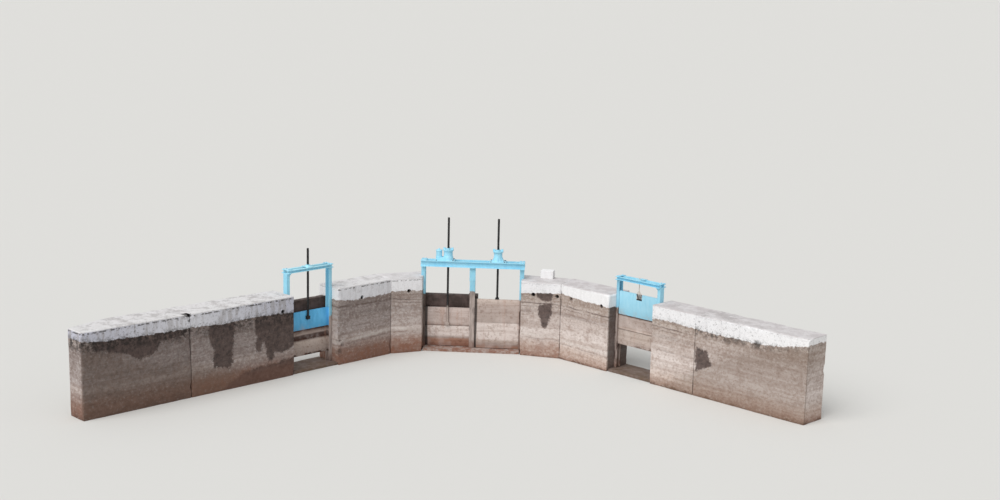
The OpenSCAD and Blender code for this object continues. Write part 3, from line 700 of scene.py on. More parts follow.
def worn_block(node, turn, wear, material, holes=(), front_detail=True):
    """A block of concrete as six grids of (along, across, up), with its edges rounded and chipped.

    Each point goes to the nearest point q of the block shrunk by a radius, and back out towards where
    it was by that radius less a depth. Radius and depth are noises of the place, so corners chip and
    faces go rough. Holes in the front are (along, height, reach, depth, rim), each as deep as
    depth * smooth(reach, reach * rim, distance). The ends are then sheared to the plan of the node.
    """
    local = node_points(node, turn)
    low, high = corners_of(local)
    foot = local[local[:, 2] < low[2] + TOUCH]
    front = foot[foot[:, 1] < low[1] + TOUCH, 0]
    back = foot[foot[:, 1] > high[1] - TOUCH, 0]
    length, depth, top = front.max() - front.min(), high[1] - low[1], high[2]
    between = foot[(foot[:, 1] > low[1] + CLEAR) & (foot[:, 1] < high[1] - CLEAR)]
    between = between[np.abs(between[:, 0] - front.min()) < 10 * TOUCH]
    thin = between[:, 1].max() - low[1] if len(between) else depth
    taper = back.min() - front.min() if len(between) else 1.0
    skew = (0.0 if len(between) else back.min() - front.min(), back.max() - front.max())

    near_holes = [[(hole[k], hole[2] * HOLE_MARGIN, FINE_STEP) for hole in holes] for k in (0, 1)]
    near_lime = [LIME_POINTS] if front_detail else []
    ends = [(end, EDGE_REACH, EDGE_STEP) for end in (0, length)]
    along = stations(0, length, ALONG_STEP, ends + near_holes[0])
    sides = [(side, EDGE_REACH / depth, FINE_STEP / depth) for side in (0, 1)]
    across = stations(0, 1, FACE_STEP / depth, sides)
    up = stations(low[2], top, FACE_STEP, [(top, EDGE_REACH, EDGE_STEP)] + near_lime + near_holes[1])

    grids = []
    for fixed, first, second, levels in (
        (0, across, up, (0, length)), (1, along, up, (0, 1)), (2, along, across, (low[2], top)),
    ):
        a, b = np.meshgrid(first, second, indexing="ij")
        for level in levels:
            columns = [a.ravel(), b.ravel()]
            columns.insert(fixed, np.full(a.size, float(level)))
            grids.append((np.stack(columns, axis=1), len(first), len(second)))
    points = np.concatenate([g[0] for g in grids])
    starts = np.cumsum([0] + [len(g[0]) for g in grids])
    quads = np.concatenate([grid_quads(g[1], g[2], s) for g, s in zip(grids, starts)])

    x, share, z = points.T
    reach = np.interp(x, [0, taper], [thin, depth]) if thin < depth else np.full(len(x), depth)
    y = share * reach
    box = np.stack([x, y, z], axis=1)
    place = turned(box + [front.min(), low[1], 0], turn)
    chips = smooth(0.18, 0.52, rough_noise(place, 3.1, 4, 5))
    radius = wear.edge_radius * (0.75 + 0.5 * rough_noise(place, 5.0, 3, 9)) + wear.chip_depth * chips
    radius = np.clip(radius, LEAST_RADIUS, 0.45 * min(thin, length, top - low[2]))
    inner = np.stack([
        np.clip(x, radius, length - radius), np.clip(y, radius, reach - radius), np.minimum(z, top - radius)
    ], axis=1)
    away = box - inner
    distance = np.linalg.norm(away, axis=1)
    direction = away / np.maximum(distance, 1e-9)[:, None]
    bare = smooth(LIME_LEVEL + 0.02, LIME_LEVEL - 0.08, z) if front_detail else np.ones(len(z))
    boards = rough_noise(place * [0.25, 0.25, 4.0], 4.0, 3, 21)
    washed = smooth(0.45, 0.0, z) * smooth(0.0, 0.4, rough_noise(place, 4.0, 4, 31))
    hollow = 0.5 + 0.5 * rough_noise(place, 9.0, 4, 3) + 2.5 * washed
    hollow = hollow + 0.8 * bare * (1 + np.clip(boards, 0, 1))
    kept = np.maximum(radius - wear.roughness * hollow, 0)
    box = inner + direction * np.minimum(distance, kept)[:, None]
    box[:, 1] += hole_depth(place, x, z, holes) * (y < FRONT_SKIN)

    slide = (1 - box[:, 0] / length) * skew[0] + box[:, 0] / length * skew[1]
    box[:, 0] += front.min() + slide * box[:, 1] / np.maximum(reach, 1e-6)
    box[:, 1] += low[1]
    return piece(node + "_worn", *welded(turned(box, turn), quads), material, CONCRETE_SHARP)


def height_along(along, line):
    """Height of a line, given as (distance, height), at distances along its wall."""
    return np.interp(along, *np.array(line).T)


def hole_depth(place, along, height, holes):
    """How deep the front lies back at places on it, for holes given as in worn_block."""
    deep = np.zeros(len(along))
    for at, level, reach, depth, rim in holes:
        ragged = 0.3 if rim > 0.5 else 1.0
        away = np.hypot(along - at, height - level) * (1 + ragged * rough_noise(place, 0.9 / reach, 3, 8))
        deep = np.maximum(deep, depth * smooth(reach, reach * rim, away))
    return deep


def wall_fields(node, points, holes):
    """Drawn marks of a wall as fields of its points: each is a distance past a mark's edge, or a share."""
    turn, *shares = WALLS[node]
    local = turned(points, -turn)
    corner = node_points(node, turn)
    start, depth = front_start(corner), corner[:, 1].min()
    along, into, z = local[:, 0] - start, local[:, 1] - depth, local[:, 2]
    length = corner[corner[:, 1] < depth + TOUCH, 0].max() - start
    on_front, on_end = smooth(0.06, 0.03, into), smooth(0.02, 0.06, into)
    lime = (z - height_along(along, LIME_EDGE[node]) + 0.012 * rough_noise(points, 9.0, 3, 40)) / 0.06
    damp = np.full(len(points), -FAR)
    for outline in STAINS.get(node, ()):
        damp = np.maximum(damp, inside_depth(np.stack([along, z], axis=1), outline) / 0.05)
    damp = np.where(on_front > 0.5, damp, -FAR)
    earth = (height_along(along, EARTH_LINE.get(node, BELOW)) - z) / 0.16 * on_front - FAR * (1 - on_front)
    # The hole field darkens the flat floors of holes and gouges as painted shade
    dark_holes = [hole for hole in holes if hole[4] > 0]
    hole = hole_depth(points, along, z, dark_holes) / 0.04 * (into < 0.12) * (into > 0.006)
    tide, pale = (z - height_along(along, line) for line in WATER_LINES.get(node, (BELOW, BELOW)))
    fields = {
        "lime": np.clip(lime, -2 * FAR, 2 * FAR), "damp": np.clip(damp, -FAR, FAR),
        "earth": np.clip(earth, -FAR, FAR), "hole": np.clip(hole, 0, 1), "tide": tide, "pale": pale,
        "top": smooth(WALL_TOP - 0.028, WALL_TOP - 0.008, z),
        # Painted shade: the right end face of the right link wall
        "shade": on_end * smooth(length - 0.04, length - 0.015, along) * (node == "right_link_wall_outer"),
    }
    for key, value in zip(("warm", "white", "dirt", "rusty", "dark"), shares):
        fields[key] = np.interp(along, (0, length), np.broadcast_to(value, 2))
    # The dark field is painted shade and lies on the fronts only
    fields["dark"] *= on_front
    # Painted light: the left end face of the left link wall gets whiter, warmer whitewash, as if lit
    lit_end = on_end * smooth(0.04, 0.015, along) * (node == "left_link_wall_outer")
    for key, target in (("white", 1.0), ("warm", 0.6)):
        fields[key] += lit_end * (target - fields[key])
    return fields


def inside_depth(points, outline):
    """Distance of points from a closed outline, above 0 inside it and below 0 outside."""
    corners = np.array(outline)
    nearest = np.full(len(points), np.inf)
    inside = np.zeros(len(points), dtype=bool)
    for a, b in zip(corners, np.roll(corners, -1, axis=0)):
        step = b - a
        share = np.clip((points - a) @ step / (step @ step), 0, 1)
        nearest = np.minimum(nearest, np.linalg.norm(points - a - share[:, None] * step, axis=1))
        level = (points[:, 1] - a[1]) / (step[1] if step[1] else 1e-9)
        inside ^= ((a[1] > points[:, 1]) != (b[1] > points[:, 1])) & (points[:, 0] < a[0] + level * step[0])
    return np.where(inside, nearest, -nearest)


def set_fields(mesh, fields):
    """Stores fields of the vertices for the material to read."""
    for name, values in fields.items():
        layer = mesh.attributes.new(name, "FLOAT", "POINT")
        layer.data.foreach_set("value", np.asarray(values, dtype=np.float32))


def cut_groove(wall, node):
    """Cuts the slot for the guides out of a worn wall: the node's own groove, carried on past its mouth."""
    local = node_points(node)
    sill_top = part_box("centre_sill")[1].z
    floor = local[np.abs(local[:, 2] - sill_top) < TOUCH]
    low, high = corners_of(floor)
    past = 0.15
    x0, x1 = (low[0], high[0] + past) if high[0] < 0 else (low[0] - past, high[0])
    corners = [(x, y, z) for x in (x0, x1) for y in (low[1], high[1]) for z in (sill_top, WALL_TOP + past)]
    faces = [(0, 1, 3, 2), (4, 6, 7, 5), (0, 4, 5, 1), (2, 3, 7, 6), (0, 2, 6, 4), (1, 5, 7, 3)]
    cutter = piece("groove cutter", np.array(corners), faces)
    cut = wall.modifiers.new("groove", "BOOLEAN")
    cut.object = cutter
    cut.solver = "EXACT"
    apply_modifiers(wall)
    finish_shading(wall.data, CONCRETE_SHARP)
    bpy.data.objects.remove(cutter)


def apply_modifiers(made):
    """Puts the result of a piece's modifiers into its mesh."""
    graph = bpy.context.evaluated_depsgraph_get()
    mesh = bpy.data.meshes.new_from_object(made.evaluated_get(graph))
    made.modifiers.clear()
    made.data = mesh


def eased_copy(node, material, bevel, slot):
    """Puts in place of a node its copy, with triangles merged into faces and edges eased by a bevel."""
    mesh = frame["nodes"][node].data.copy()
    work = bmesh.new()
    work.from_mesh(mesh)
    bmesh.ops.remove_doubles(work, verts=work.verts, dist=1e-5)
    bmesh.ops.dissolve_limit(work, angle_limit=math.radians(0.5), verts=work.verts, edges=work.edges)
    work.to_mesh(mesh)
    work.free()
    mesh.materials.clear()
    mesh.materials.append(material)
    made = linked(node + "_eased", mesh)
    ease = made.modifiers.new("eased edges", "BEVEL")
    ease.width = bevel
    ease.segments = 2
    ease.limit_method = "ANGLE"
    ease.angle_limit = math.radians(32)
    apply_modifiers(made)
    finish_shading(made.data, STEEL_SHARP)
    fit(made, body_of_node(node), slot, node)


def round_end(local):
    """Centre and radius of the round end at the top of a stem or rod."""
    ring = local[local[:, 2] > local[:, 2].max() - TOUCH]
    low, high = corners_of(ring)
    return (low + high) / 2, (high[0] - low[0]) / 2


def screw_thread(name, centre, low, high, radius, sizes, material):
    """A threaded round bar: radius(angle, z) = root + crest * profile(z / pitch - angle / turn)."""
    steps, rows = 20, 5
    pitch = sizes.thread_pitch
    turns = (high - low) / pitch
    angle = np.linspace(0, 2 * math.pi, steps + 1)
    level = np.arange(-rows, rows * (int(turns) + 2)) / rows
    a, v = np.meshgrid(angle, level, indexing="ij")
    z = np.clip(low + pitch * (v + a / (2 * math.pi)), low, high)
    phase = np.mod((z - low) / pitch - a / (2 * math.pi), 1.0)
    profile = np.clip(2.4 - 6.0 * np.abs(phase - 0.5), 0, 1)
    plain = smooth(0.02, 0.015, high - z)
    reach = radius - sizes.thread_depth * (1 - profile) * (1 - plain) - 0.6 * sizes.thread_depth * plain
    points = np.stack([centre[0] + reach * np.cos(a), centre[1] + reach * np.sin(a), z], axis=2)
    points = points.reshape(-1, 3)
    quads = [grid_quads(steps + 1, len(level))]
    for end, column in ((low, 0), (high, len(level) - 1)):
        ring = np.arange(steps + 1) * len(level) + column
        pole = np.full(steps, len(points))
        points = np.concatenate([points, [[centre[0], centre[1], end]]])
        quads.append(np.stack([ring[:-1], ring[1:], pole, pole], axis=1))
    return piece(name, *welded(points, np.concatenate(quads)), material, 50.0)


def hex_bolts(name, places, radius, height, material):
    """Hexagon heads with chamfered tops on round washers: rings of points repeated at each place.

    A ring is (share of the radius, share of the height, corners).
    """
    around = np.arange(12) * math.pi / 6
    hexagon = np.cos(math.pi / 6) / np.cos(np.mod(around, math.pi / 3) - math.pi / 6)
    template = []
    for share, level, corners in (
        (0.0, 0.0, 12), (1.35, 0.0, 12), (1.35, 0.16, 12), (1.0, 0.16, 6), (1.0, 0.85, 6), (0.86, 1.0, 6),
        (0.0, 1.0, 6),
    ):
        reach = share * radius * (1.0 if corners == 12 else hexagon)
        ring = np.stack([reach * np.cos(around), reach * np.sin(around), np.full(12, level * height)], axis=1)
        template.append(np.concatenate([ring, ring[:1]]))
    rows, columns = len(template), len(template[0])
    template = np.concatenate(template)
    points = np.concatenate([template + place for place in places])
    quads = [grid_quads(rows, columns, start) for start in range(0, len(points), len(template))]
    return piece(name, *welded(points, np.concatenate(quads)), material, SMALL_SHARP)


def strand(path, radius, sides=8):
    """A tube round a path: at each point a ring across the path's direction, with a point at both ends."""
    path = np.asarray(path, dtype=float)
    forward = np.gradient(path, axis=0)
    forward /= np.linalg.norm(forward, axis=1)[:, None]
    side = np.cross(forward, [0.3, 1.0, 0.2])
    side /= np.linalg.norm(side, axis=1)[:, None]
    over = np.cross(forward, side)
    around = np.linspace(0, 2 * math.pi, sides + 1)
    width = np.full(len(path), radius)
    width[[0, -1]] = 0
    ring = side[:, None] * np.cos(around)[None, :, None] + over[:, None] * np.sin(around)[None, :, None]
    points = path[:, None] + ring * width[:, None, None]
    return points.reshape(-1, 3), grid_quads(len(path), sides + 1)


# Sizes, colours and operators


def length_property(name, description, default, low):
    """A length in metres that a user can change."""
    return FloatProperty(name=name, description=description, default=default, min=low, unit="LENGTH")


def colour_property(name, description, *value):
    """A colour that a user can change, given in sRGB numbers up to 255."""
    return FloatVectorProperty(
        name=name, description=description, subtype="COLOR", size=3, min=0, max=1, default=srgb(*value))


class SluiceSizes(bpy.types.PropertyGroup):
    """Sizes of the wear and of the small parts."""

    edge_radius: length_property("Edge radius", "Radius of the worn concrete edges", 0.016, 0.004)
    chip_depth: length_property("Chips", "How much deeper the edges are where they have chipped", 0.05, 0)
    roughness: length_property("Roughness", "Depth of the hollows in the concrete faces", 0.004, 0)
    thread_pitch: length_property("Thread pitch", "Pitch of the stems' thread", 0.012, 0.004)
    thread_depth: length_property("Thread depth", "Depth of the stems' thread", 0.0035, 0.001)
    bolt_radius: length_property("Bolt radius", "Radius of a bolt head across its corners", 0.013, 0.004)
    bevel: length_property("Eased edges", "Width of the bevel on steel edges", 0.0018, 0.0002)


class SluiceColours(bpy.types.PropertyGroup):
    """Colours of the finishes."""

    whitewash: colour_property("Whitewash", "Whitewash where it is whole", 248, 246, 246)
    whitewash_grey: colour_property("Grey whitewash", "Whitewash thinned by rain", 198, 198, 210)
    worn_top: colour_property("Worn top", "Grey worn tops of the right walls", 204, 197, 197)
    bare_top: colour_property("Bare top", "Concrete that shows through the whitewash", 162, 156, 154)
    silt_line: colour_property("Water marks", "Tint of the level lines on the walls", 200, 187, 180)
    pale_grain: colour_property("Pale grain", "Pale grains in bare concrete", 232, 224, 218)
    rust_wash: colour_property("Rust wash", "Reddish stain low on walls and leaves", 140, 98, 80)
    earth: colour_property("Earth", "Old earth on the wings", 112, 92, 76)
    damp: colour_property("Damp", "Damp stains", 92, 76, 72)
    # Dark damp is also the colour of painted shade: on the right link wall's end, on the centre left guide
    # and in the passages
    damp_dark_and_shade: colour_property("Dark damp", "Wettest and darkest stains", 62, 50, 46)
    lichen: colour_property("Lichen", "Dark lichen and dirt in the grain", 66, 60, 56)
    # Also the colour of painted shade: in holes, in the slots beside the centre leaves and in the right
    # leaf's notch
    soot_and_shade: colour_property("Hollows", "Bottom of holes and wet slots", 30, 26, 25)
    blue: colour_property("Blue paint", "Light blue paint of the frames", 152, 216, 238)
    blue_chalk: colour_property("Chalked paint", "Paint that has chalked", 204, 234, 244)
    leaf_blue: colour_property("Left leaf", "Deeper blue of the left leaf", 104, 186, 232)
    leaf_blue_low: colour_property("Left leaf, low", "Left leaf near its silt", 86, 168, 214)
    leaf_pale: colour_property("Right leaf", "Pale blue of the right leaf", 160, 208, 226)
    leaf_pale_low: colour_property("Right leaf, low", "Right leaf near its silt", 148, 202, 222)
    rust: colour_property("Rust", "Rust in chips of the paint", 120, 66, 42)
    # Dark rust also serves as painted shadow lines on the leaves
    dark_rust_and_shadow: colour_property("Dark rust", "Rust under water marks", 74, 52, 44)
    rust_pale: colour_property("Pale rust", "Rust thinned over silt", 168, 130, 112)
    silt: colour_property("Silt", "Dry silt", 178, 162, 154)
    silt_pale: colour_property("Pale silt", "Pale dry silt", 196, 180, 170)
    leaf_silt: colour_property("Leaf silt", "Pale silt of the centre leaves", 228, 216, 210)
    leaf_brown: colour_property("Leaf upper silt", "Browner silt of the left centre leaf", 190, 174, 167)
    # Dark silt also serves as painted shadow lines on the leaves
    dark_silt_and_shadow: colour_property("Dark silt", "Silt in the water marks", 128, 110, 102)
    foot_rust: colour_property("Leaf foot", "Reddish brown foot of the centre leaves", 144, 103, 86)
    grease: colour_property("Grease", "Black grease on the stems", 22, 21, 22)
    grit: colour_property("Grit", "Grit caught in the grease", 62, 55, 50)
    wire: colour_property("Wire", "Weathered wire", 206, 198, 190)


def settings(context):
    """The sizes and colours that a user has set."""
    return context.scene.sluice_sizes, context.scene.sluice_colours


class SLUICE_OT_walls(bpy.types.Operator):
    """Worn whitewashed concrete walls in place of the plain ones"""

    bl_idname = "sluice.walls"
    bl_label = "Headwall"

    def execute(self, context):
        sizes, tints = settings(context)
        concrete = headwall_concrete(tints)
        for node, (turn, *_) in WALLS.items():
            holes = [(at, level, *WEEP_HOLE) for at, level in weep_places(node, turn)]
            holes += GOUGES.get(node, ())
            wall = worn_block(node, turn, sizes, concrete, holes)
            if node in GROOVED:
                cut_groove(wall, node)
            set_fields(wall.data, wall_fields(node, vertex_array(wall.data), holes))
            fit(wall, "headwall", "concrete", node)
        block = worn_block("kerb_block", RIGHT_INNER_TURN, sizes, concrete, front_detail=False)
        count = len(block.data.vertices)
        set_fields(block.data, {key: np.full(count, value) for key, value in BLOCK_FIELDS.items()})
        fit(block, "headwall", "concrete", "kerb_block")
        return {"FINISHED"}


def weep_places(node, turn):
    """Where a wall's blind holes are: the middles of their round floors, as (along, height)."""
    local = node_points(node, turn)
    into, z = local[:, 1] - local[:, 1].min(), local[:, 2]
    floor = local[(into > 0.05) & (into < 0.15) & (z > 1.2) & (z < 1.45)]
    if not len(floor):
        return []
    along = np.sort(floor[:, 0] - front_start(local))
    groups = np.split(along, np.where(np.diff(along) > 0.1)[0] + 1)
    level = (floor[:, 2].min() + floor[:, 2].max()) / 2
    return [((g.min() + g.max()) / 2, level) for g in groups]


def front_start(local):
    """Where a wall's front face starts along its row."""
    low = local.min(axis=0)
    foot = local[(local[:, 2] < low[2] + TOUCH) & (local[:, 1] < low[1] + TOUCH)]
    return foot[:, 0].min()


class SLUICE_OT_passages(bpy.types.Operator):
    """Sills, pier and breast walls of dark wet concrete, darkened further as painted shade"""

    bl_idname = "sluice.passages"
    bl_label = "Passages"

    def execute(self, context):
        sizes, tints = settings(context)
        # Painted shade: the passages' concrete is darker than wet concrete alone
        wet = shaded_concrete("passage concrete", tints)
        muddy = shaded_concrete("sill concrete", tints, 0.75)
        rusty = shaded_concrete("centre sill concrete", tints, 0.85, tints.foot_rust, tints.silt)
        for node, turn, concrete in (
            ("left_sill", LEFT_TURN, muddy), ("centre_sill", 0.0, rusty), ("right_sill", RIGHT_TURN, muddy),
            ("left_breast_wall", LEFT_TURN, wet), ("right_breast_wall", RIGHT_TURN, wet),
        ):
            block = worn_block(node, turn, sizes, concrete, front_detail=False)
            fit(block, "headwall", "wet_concrete", node)
        for node, slot in (("centre_breast_walls", "wet_concrete"), ("centre_pier", "concrete")):
            eased_copy(node, wet, PASSAGE_BEVEL, slot)
        return {"FINISHED"}


class SLUICE_OT_frames(bpy.types.Operator):
    """Painted guide posts, rails and plates of the three gate frames"""

    bl_idname = "sluice.frames"
    bl_label = "Frames"

    def execute(self, context):
        sizes, tints = settings(context)
        common = brushed_paint("frame paint", tints, 1.15)
        bright = brushed_paint("left beam paint", tints, 1.15, tone=(1.35, 1.14, 1.06))
        silt = tints.leaf_silt
        paints = {
            "left_frame_post_left": brushed_paint("left guide paint, left", tints, 1.16),
            "left_frame_post_right": brushed_paint(
                "left guide paint, right", tints, 1.00, silt_and_shade_coats=[(0.35, silt)]),
            # Painted shade: the centre left guide is darkened below its silt line, where it stands in the
            # slot
            "centre_frame_post_left": brushed_paint(
                "centre guide paint, left", tints, 1.20, silt_and_shade_coats=[(0.7, tints.damp_dark_and_shade)]),
            "centre_frame_mullion": brushed_paint("mullion paint", tints, 1.29, silt_and_shade_coats=[(0.28, silt)]),
            "right_frame_post_left": brushed_paint(
                "right guide paint", tints, 1.31, tone=(0.88, 0.88, 0.9), rust=0.4),
            "left_frame_front_rail": bright, "left_frame_back_rail": bright, "left_frame_battens": bright,
            "left_nut_plate": bright,
        }
        for node in frame["nodes"]:
            if "_frame_" in node or node in ("left_nut_plate", "right_hole_plate"):
                eased_copy(node, paints.get(node, common), sizes.bevel, "blue_paint")
        return {"FINISHED"}


class SLUICE_OT_hoists(bpy.types.Operator):
    """Cast housings of the screw hoists"""

    bl_idname = "sluice.hoists"
    bl_label = "Hoists"

    def execute(self, context):
        tints = context.scene.sluice_colours
        cast = brushed_paint("cast hoist paint", tints, tone=(1.06, 1.03, 1.02), rust=0.35)
        for node in ("hoist_left_housing", "hoist_left_drive", "hoist_right_housing"):
            eased_copy(node, cast, CAST_BEVEL, "cast_paint")
        return {"FINISHED"}


class SLUICE_OT_leaves(bpy.types.Operator):
    """Lapped steel leaves with paint above and silt below"""

    bl_idname = "sluice.leaves"
    bl_label = "Leaves"

    def execute(self, context):
        sizes, tints = settings(context)
        silt, light, pale = tints.silt, tints.silt_pale, tints.leaf_silt
        dark, line, brown = tints.dark_silt_and_shadow, tints.dark_rust_and_shadow, tints.leaf_brown
        # The dark stops just under each paint line and at the plate laps (left 0.572 to 0.60, right 0.883,
        # centre left 0.512) are painted shadow lines under the plates' edges; the other stops are silt
        left = [
            (0.25, line), (0.275, silt), (0.54, light), (0.572, dark), (0.585, line), (0.60, line),
            (0.665, tints.damp), (0.69, silt), (0.745, dark), (0.77, line), (1.16, line),
        ]
        right = [
            (0.565, dark), (0.59, silt), (0.74, light), (0.865, light), (0.883, dark), (0.898, light),
            (0.94, silt), (1.15, silt), (1.176, line), (1.67, line),
        ]
        centre_left = [
            (0.065, tints.foot_rust), (0.21, tints.rust_pale), (0.25, silt), (0.29, pale), (0.49, pale),
            (0.512, dark), (0.54, brown), (0.90, brown),
        ]
        centre_right = [
            (0.065, tints.rust_pale), (0.15, silt), (0.21, light), (0.26, pale), (0.61, pale), (0.628, silt),
            (0.66, silt), (0.95, silt), (1.125, light),
        ]
        for node, slot, stops, paint in (
            ("left_leaf", "leaf_paint", left, (0.787, tints.leaf_blue, tints.leaf_blue_low)),
            ("centre_left_leaf", "silted_steel", centre_left, None),
            ("centre_right_leaf", "silted_steel", centre_right, None),
            ("right_leaf", "leaf_paint", right, (1.19, tints.leaf_pale, tints.leaf_pale_low)),
        ):
            # A painted shadow strip down the left edge of each unpainted leaf
            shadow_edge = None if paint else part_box(node)[0].x + 0.05
            plate = silted_plate(node + " plate", tints, stops, paint, shadow_edge)
            eased_copy(node, plate, sizes.bevel, slot)
        return {"FINISHED"}


class SLUICE_OT_stems(bpy.types.Operator):
    """Threaded screw stems with the blocks at their feet"""

    bl_idname = "sluice.stems"
    bl_label = "Stems"

    def execute(self, context):
        sizes, tints = settings(context)
        for node, turn, silt_line in (
            ("left_stem", LEFT_TURN, -1.0), ("centre_left_stem", 0.0, 0.92), ("centre_right_stem", 0.0, -1.0),
        ):
            screw = greased_screw(node + " steel", tints, silt_line)
            local = node_points(node, turn)
            centre, radius = round_end(local)
            wide = local[np.abs(local[:, 0] - centre[0]) > radius * 1.2]
            low, high = corners_of(wide)
            place = turned(centre[None], turn)[0]
            body = body_of_node(node)
            start, top = high[2] - THREAD_SINK, local[:, 2].max()
            thread = screw_thread(node + "_thread", place, start, top, radius, sizes, screw)
            fit(thread, body, "stem_steel", node)
            fit(rounded_block(node + "_foot", low, high, turn, screw), body, "stem_steel")
        return {"FINISHED"}


def rounded_block(name, low, high, turn, material):
    """The block at a stem's foot, or the hanger's bar: a rounded rectangle carried up from low to high."""
    middle, half = (low[:2] + high[:2]) / 2, (high[:2] - low[:2]) / 2
    corner = 0.006
    ease = 0.004
    around = np.linspace(0, 2 * math.pi, 33)[:-1] + math.pi / 32
    arc = np.stack([np.cos(around), np.sin(around)], axis=1)
    outline = np.sign(arc) * (half - corner) + corner * arc
    bottom, top = low[2], high[2]
    levels = ((bottom, 0.0), (bottom, 0.93), (bottom + ease, 1.0), (top - ease, 1.0), (top, 0.93), (top, 0.0))
    rows = [np.column_stack([middle + outline * share, np.full(len(outline), z)]) for z, share in levels]
    grid = np.concatenate([np.concatenate([r, r[:1]]) for r in rows])
    points, faces = welded(turned(grid, turn), grid_quads(len(levels), len(outline) + 1))
    return piece(name, points, faces, material, SMALL_SHARP)


class SLUICE_OT_fasteners(bpy.types.Operator):
    """Bolts on the beams and hoists"""

    bl_idname = "sluice.fasteners"
    bl_label = "Fasteners"

    def execute(self, context):
        sizes, tints = settings(context)
        painted = brushed_paint("painted bolts", tints, tone=(0.92, 0.95, 0.97), rust=0.6)
        dark = greased_screw("dark bolts", tints)
        size = (sizes.bolt_radius, 0.75 * sizes.bolt_radius)
        fit(hex_bolts("batten_bolts", batten_bolt_places(), *size, painted), "headwall", "blue_paint")
        fit(hex_bolts("hoist_bolts", hoist_bolt_places(), *size, dark), "headwall", "cast_paint")
        return {"FINISHED"}


def batten_bolt_places():
    """Two bolts over each rail at both ends of the battens of every beam."""
    places = []
    for station, turn in STATION_TURN.items():
        local = node_points(station + "_frame_battens", turn)
        low, high = local.min(axis=0) + BOLT_INSET, local.max(axis=0) - BOLT_INSET
        row = (low[0], low[0] + BOLT_SPREAD, high[0], high[0] - BOLT_SPREAD)
        top = local[:, 2].max()
        places.append(turned(np.array([(x, y, top) for x in row for y in (low[1], high[1])]), turn))
    return np.concatenate(places)


def hoist_bolt_places():
    """Four bolts at the corners of both hoist base plates, set in from the edges."""
    places = []
    for node in ("hoist_left_housing", "hoist_right_housing"):
        local = node_points(node)
        base_top = local[:, 2].min() + HOIST_BASE
        plate = local[local[:, 2] < base_top + TOUCH]
        low, high = plate.min(axis=0) + BOLT_INSET, plate.max(axis=0) - BOLT_INSET
        places += [(x, y, base_top) for x in (low[0], high[0]) for y in (low[1], high[1])]
    return np.array(places)


class SLUICE_OT_hanger(bpy.types.Operator):
    """Twisted wire that ties the right leaf to its beam, with the bar in the notch"""

    bl_idname = "sluice.hanger"
    bl_label = "Hanger"

    def execute(self, context):
        wire = old_wire(context.scene.sluice_colours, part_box("right_leaf")[1].z)
        local = node_points("right_hanger", RIGHT_TURN)
        low, high = corners_of(local)
        centre, radius = round_end(local)
        bar_top = np.unique(np.round(local[local[:, 2] < low[2] + 0.05, 2], 4)).max()
        rise = np.linspace(0, 1, 120)
        # Low down the strands fan out over the bar, in front of the leaf. Higher up they stay inside the rod.
        fan = smooth(*FAN_SHARES, rise)
        forward = (low[1] + 1.5 * radius - centre[1]) * fan
        orbit = radius * 0.5 + LOOSENESS * smooth(*LOOSE_SHARES, rise)
        foot = bar_top - STRAND_SINK
        strands, faces = [], []
        spreads = np.linspace(low[0] + STRAND_INSET, high[0] - STRAND_INSET, STRANDS) - centre[0]
        for k, spread in enumerate(spreads):
            angle = 2 * math.pi * (k / STRANDS + STRAND_TWISTS * rise)
            sway = SWAY * np.sin(SWAY_RATE * rise + 2 * k)
            path = np.stack([
                centre[0] + (spread + sway) * fan + orbit * np.cos(angle) * (1 - fan),
                centre[1] + forward + orbit * np.sin(angle) * (1 - 0.5 * fan),
                foot + (high[2] - foot) * rise
            ], axis=1)
            points, quads = strand(path, radius * STRAND_SHARE)
            faces.append(quads + k * len(points))
            strands.append(points)
        points, faces = welded(turned(np.concatenate(strands), RIGHT_TURN), np.concatenate(faces))
        fit(piece("hanger_wire", points, faces, wire, 60.0), "right_gate", "stem_steel", "right_hanger")
        bar = rounded_block("hanger_bar", low, np.array([high[0], high[1], bar_top]), RIGHT_TURN, wire)
        fit(bar, "right_gate", "stem_steel")
        return {"FINISHED"}


# The photograph's camera: place, lens in mm, and how far it turns left, tilts down and rolls, in degrees. Its
# horizon is 266 pixels above the middle of the photograph, at a focal length of 1400 pixels.
CAMERA_PLACE = Vector((2.233, -28.95, 7.7))
CAMERA_LENS = 50.4
CAMERA_YAW = 3.3
CAMERA_DOWN = math.degrees(math.atan(266 / 1400))
CAMERA_ROLL = 1.34
# Half the width of the floor, and the way that the lamp's light goes
FLOOR_REACH = 1500
LAMP_AIM = Vector((0.45, 0.75, -1.0))


class SLUICE_OT_stage(bpy.types.Operator):
    """Pale floor, soft light and the camera"""

    bl_idname = "sluice.stage"
    bl_label = "Stage"

    def execute(self, context):
        scene = context.scene
        scene.view_settings.view_transform = "Standard"
        yaw, down, roll = (math.radians(v) for v in (CAMERA_YAW, CAMERA_DOWN, CAMERA_ROLL))
        aim = Matrix.Rotation(yaw, 4, "Z") @ Matrix.Rotation(math.pi / 2 - down, 4, "X")
        camera = bpy.data.cameras.new("camera")
        camera.lens = CAMERA_LENS
        camera.clip_end = 5000
        scene.camera = linked("camera", camera)
        scene.camera.matrix_world = Matrix.Translation(CAMERA_PLACE) @ aim @ Matrix.Rotation(roll, 4, "Z")
        floor_and_lamp()
        sky(scene)
        return {"FINISHED"}


def floor_and_lamp():
    """A wide floor just under the waterline and one broad lamp."""
    ground = Graph("floor", roughness=0.95, specular=0.1).done(srgb(216, 214, 210))
    corners = [(x * FLOOR_REACH, y * FLOOR_REACH, -0.002) for x, y in ((-1, -1), (1, -1), (1, 1), (-1, 1))]
    piece("floor", np.array(corners), [(0, 1, 2, 3)], ground)
    lamp = bpy.data.lights.new("softbox", "SUN")
    lamp.energy = 2.5
    lamp.angle = math.radians(55)
    linked("softbox", lamp).rotation_euler = LAMP_AIM.to_track_quat("-Z", "Y").to_euler()


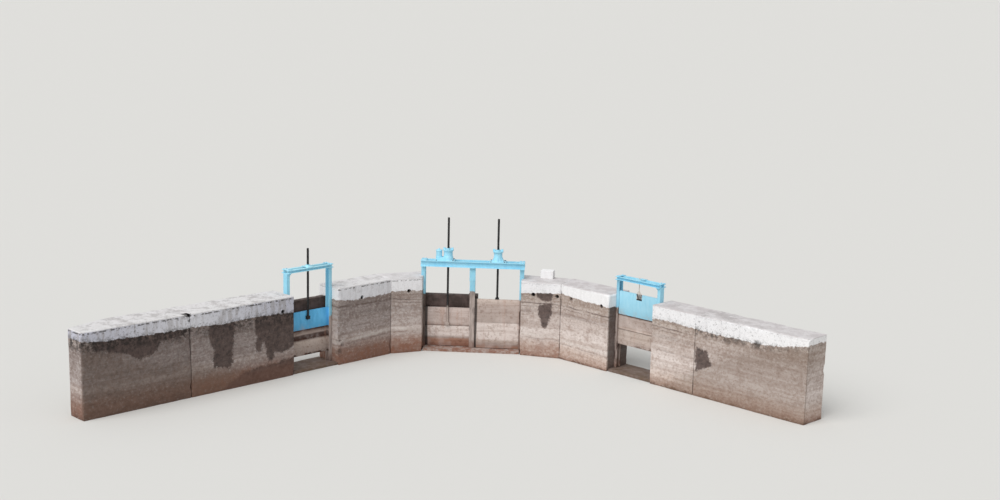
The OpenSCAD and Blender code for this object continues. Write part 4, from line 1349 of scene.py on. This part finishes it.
def sky(scene):
    """An even light sky, which the camera, mirrors and glass see as a pale grey."""
    world = bpy.data.worlds.new("studio")
    scene.world = world
    world.use_nodes = True
    tree = world.node_tree
    light, surface = tree.nodes["Background"], tree.nodes["World Output"].inputs["Surface"]
    seen, path, first, either, blend = (tree.nodes.new("ShaderNode" + kind) for kind in (
        "Background", "LightPath", "Math", "Math", "MixShader"))
    light.inputs["Color"].default_value = (0.95, 0.98, 1.0, 1)
    light.inputs["Strength"].default_value = 0.5
    seen.inputs["Color"].default_value = (*srgb(223.5, 223, 219.5), 1)
    first.operation = either.operation = "MAXIMUM"
    for source, target in (
        (path.outputs["Is Camera Ray"], first.inputs[0]), (path.outputs["Is Glossy Ray"], first.inputs[1]),
        (first.outputs[0], either.inputs[0]), (path.outputs["Is Transmission Ray"], either.inputs[1]),
        (either.outputs[0], blend.inputs["Fac"]), (light.outputs[0], blend.inputs[1]),
        (seen.outputs[0], blend.inputs[2]), (blend.outputs[0], surface),
    ):
        tree.links.new(source, target)


class SLUICE_PT_panel(bpy.types.Panel):
    """Buttons and values of the sluice gate's finish"""

    bl_idname = "SLUICE_PT_panel"
    bl_label = "Sluice gate"
    bl_space_type = "VIEW_3D"
    bl_region_type = "UI"
    bl_category = "Sluice"

    def draw(self, context):
        for operator in STEPS:
            self.layout.operator(operator.bl_idname)
        for group in settings(context):
            column = self.layout.column()
            for key in group.bl_rna.properties.keys():
                if key not in ("rna_type", "name"):
                    column.prop(group, key)


STEPS = (
    SLUICE_OT_stage, SLUICE_OT_walls, SLUICE_OT_passages, SLUICE_OT_frames, SLUICE_OT_hoists,
    SLUICE_OT_leaves, SLUICE_OT_stems, SLUICE_OT_fasteners, SLUICE_OT_hanger,
)
CLASSES = (SluiceSizes, SluiceColours, *STEPS, SLUICE_PT_panel)


def register():
    for item in CLASSES:
        bpy.utils.register_class(item)
    bpy.types.Scene.sluice_sizes = PointerProperty(type=SluiceSizes)
    bpy.types.Scene.sluice_colours = PointerProperty(type=SluiceColours)


def unregister():
    del bpy.types.Scene.sluice_sizes
    del bpy.types.Scene.sluice_colours
    for item in reversed(CLASSES):
        bpy.utils.unregister_class(item)


def main():
    """Makes every piece in order."""
    register()
    for operator in STEPS:
        group, name = operator.bl_idname.split(".")
        getattr(getattr(bpy.ops, group), name)()


if __name__ == "__main__":
    main()
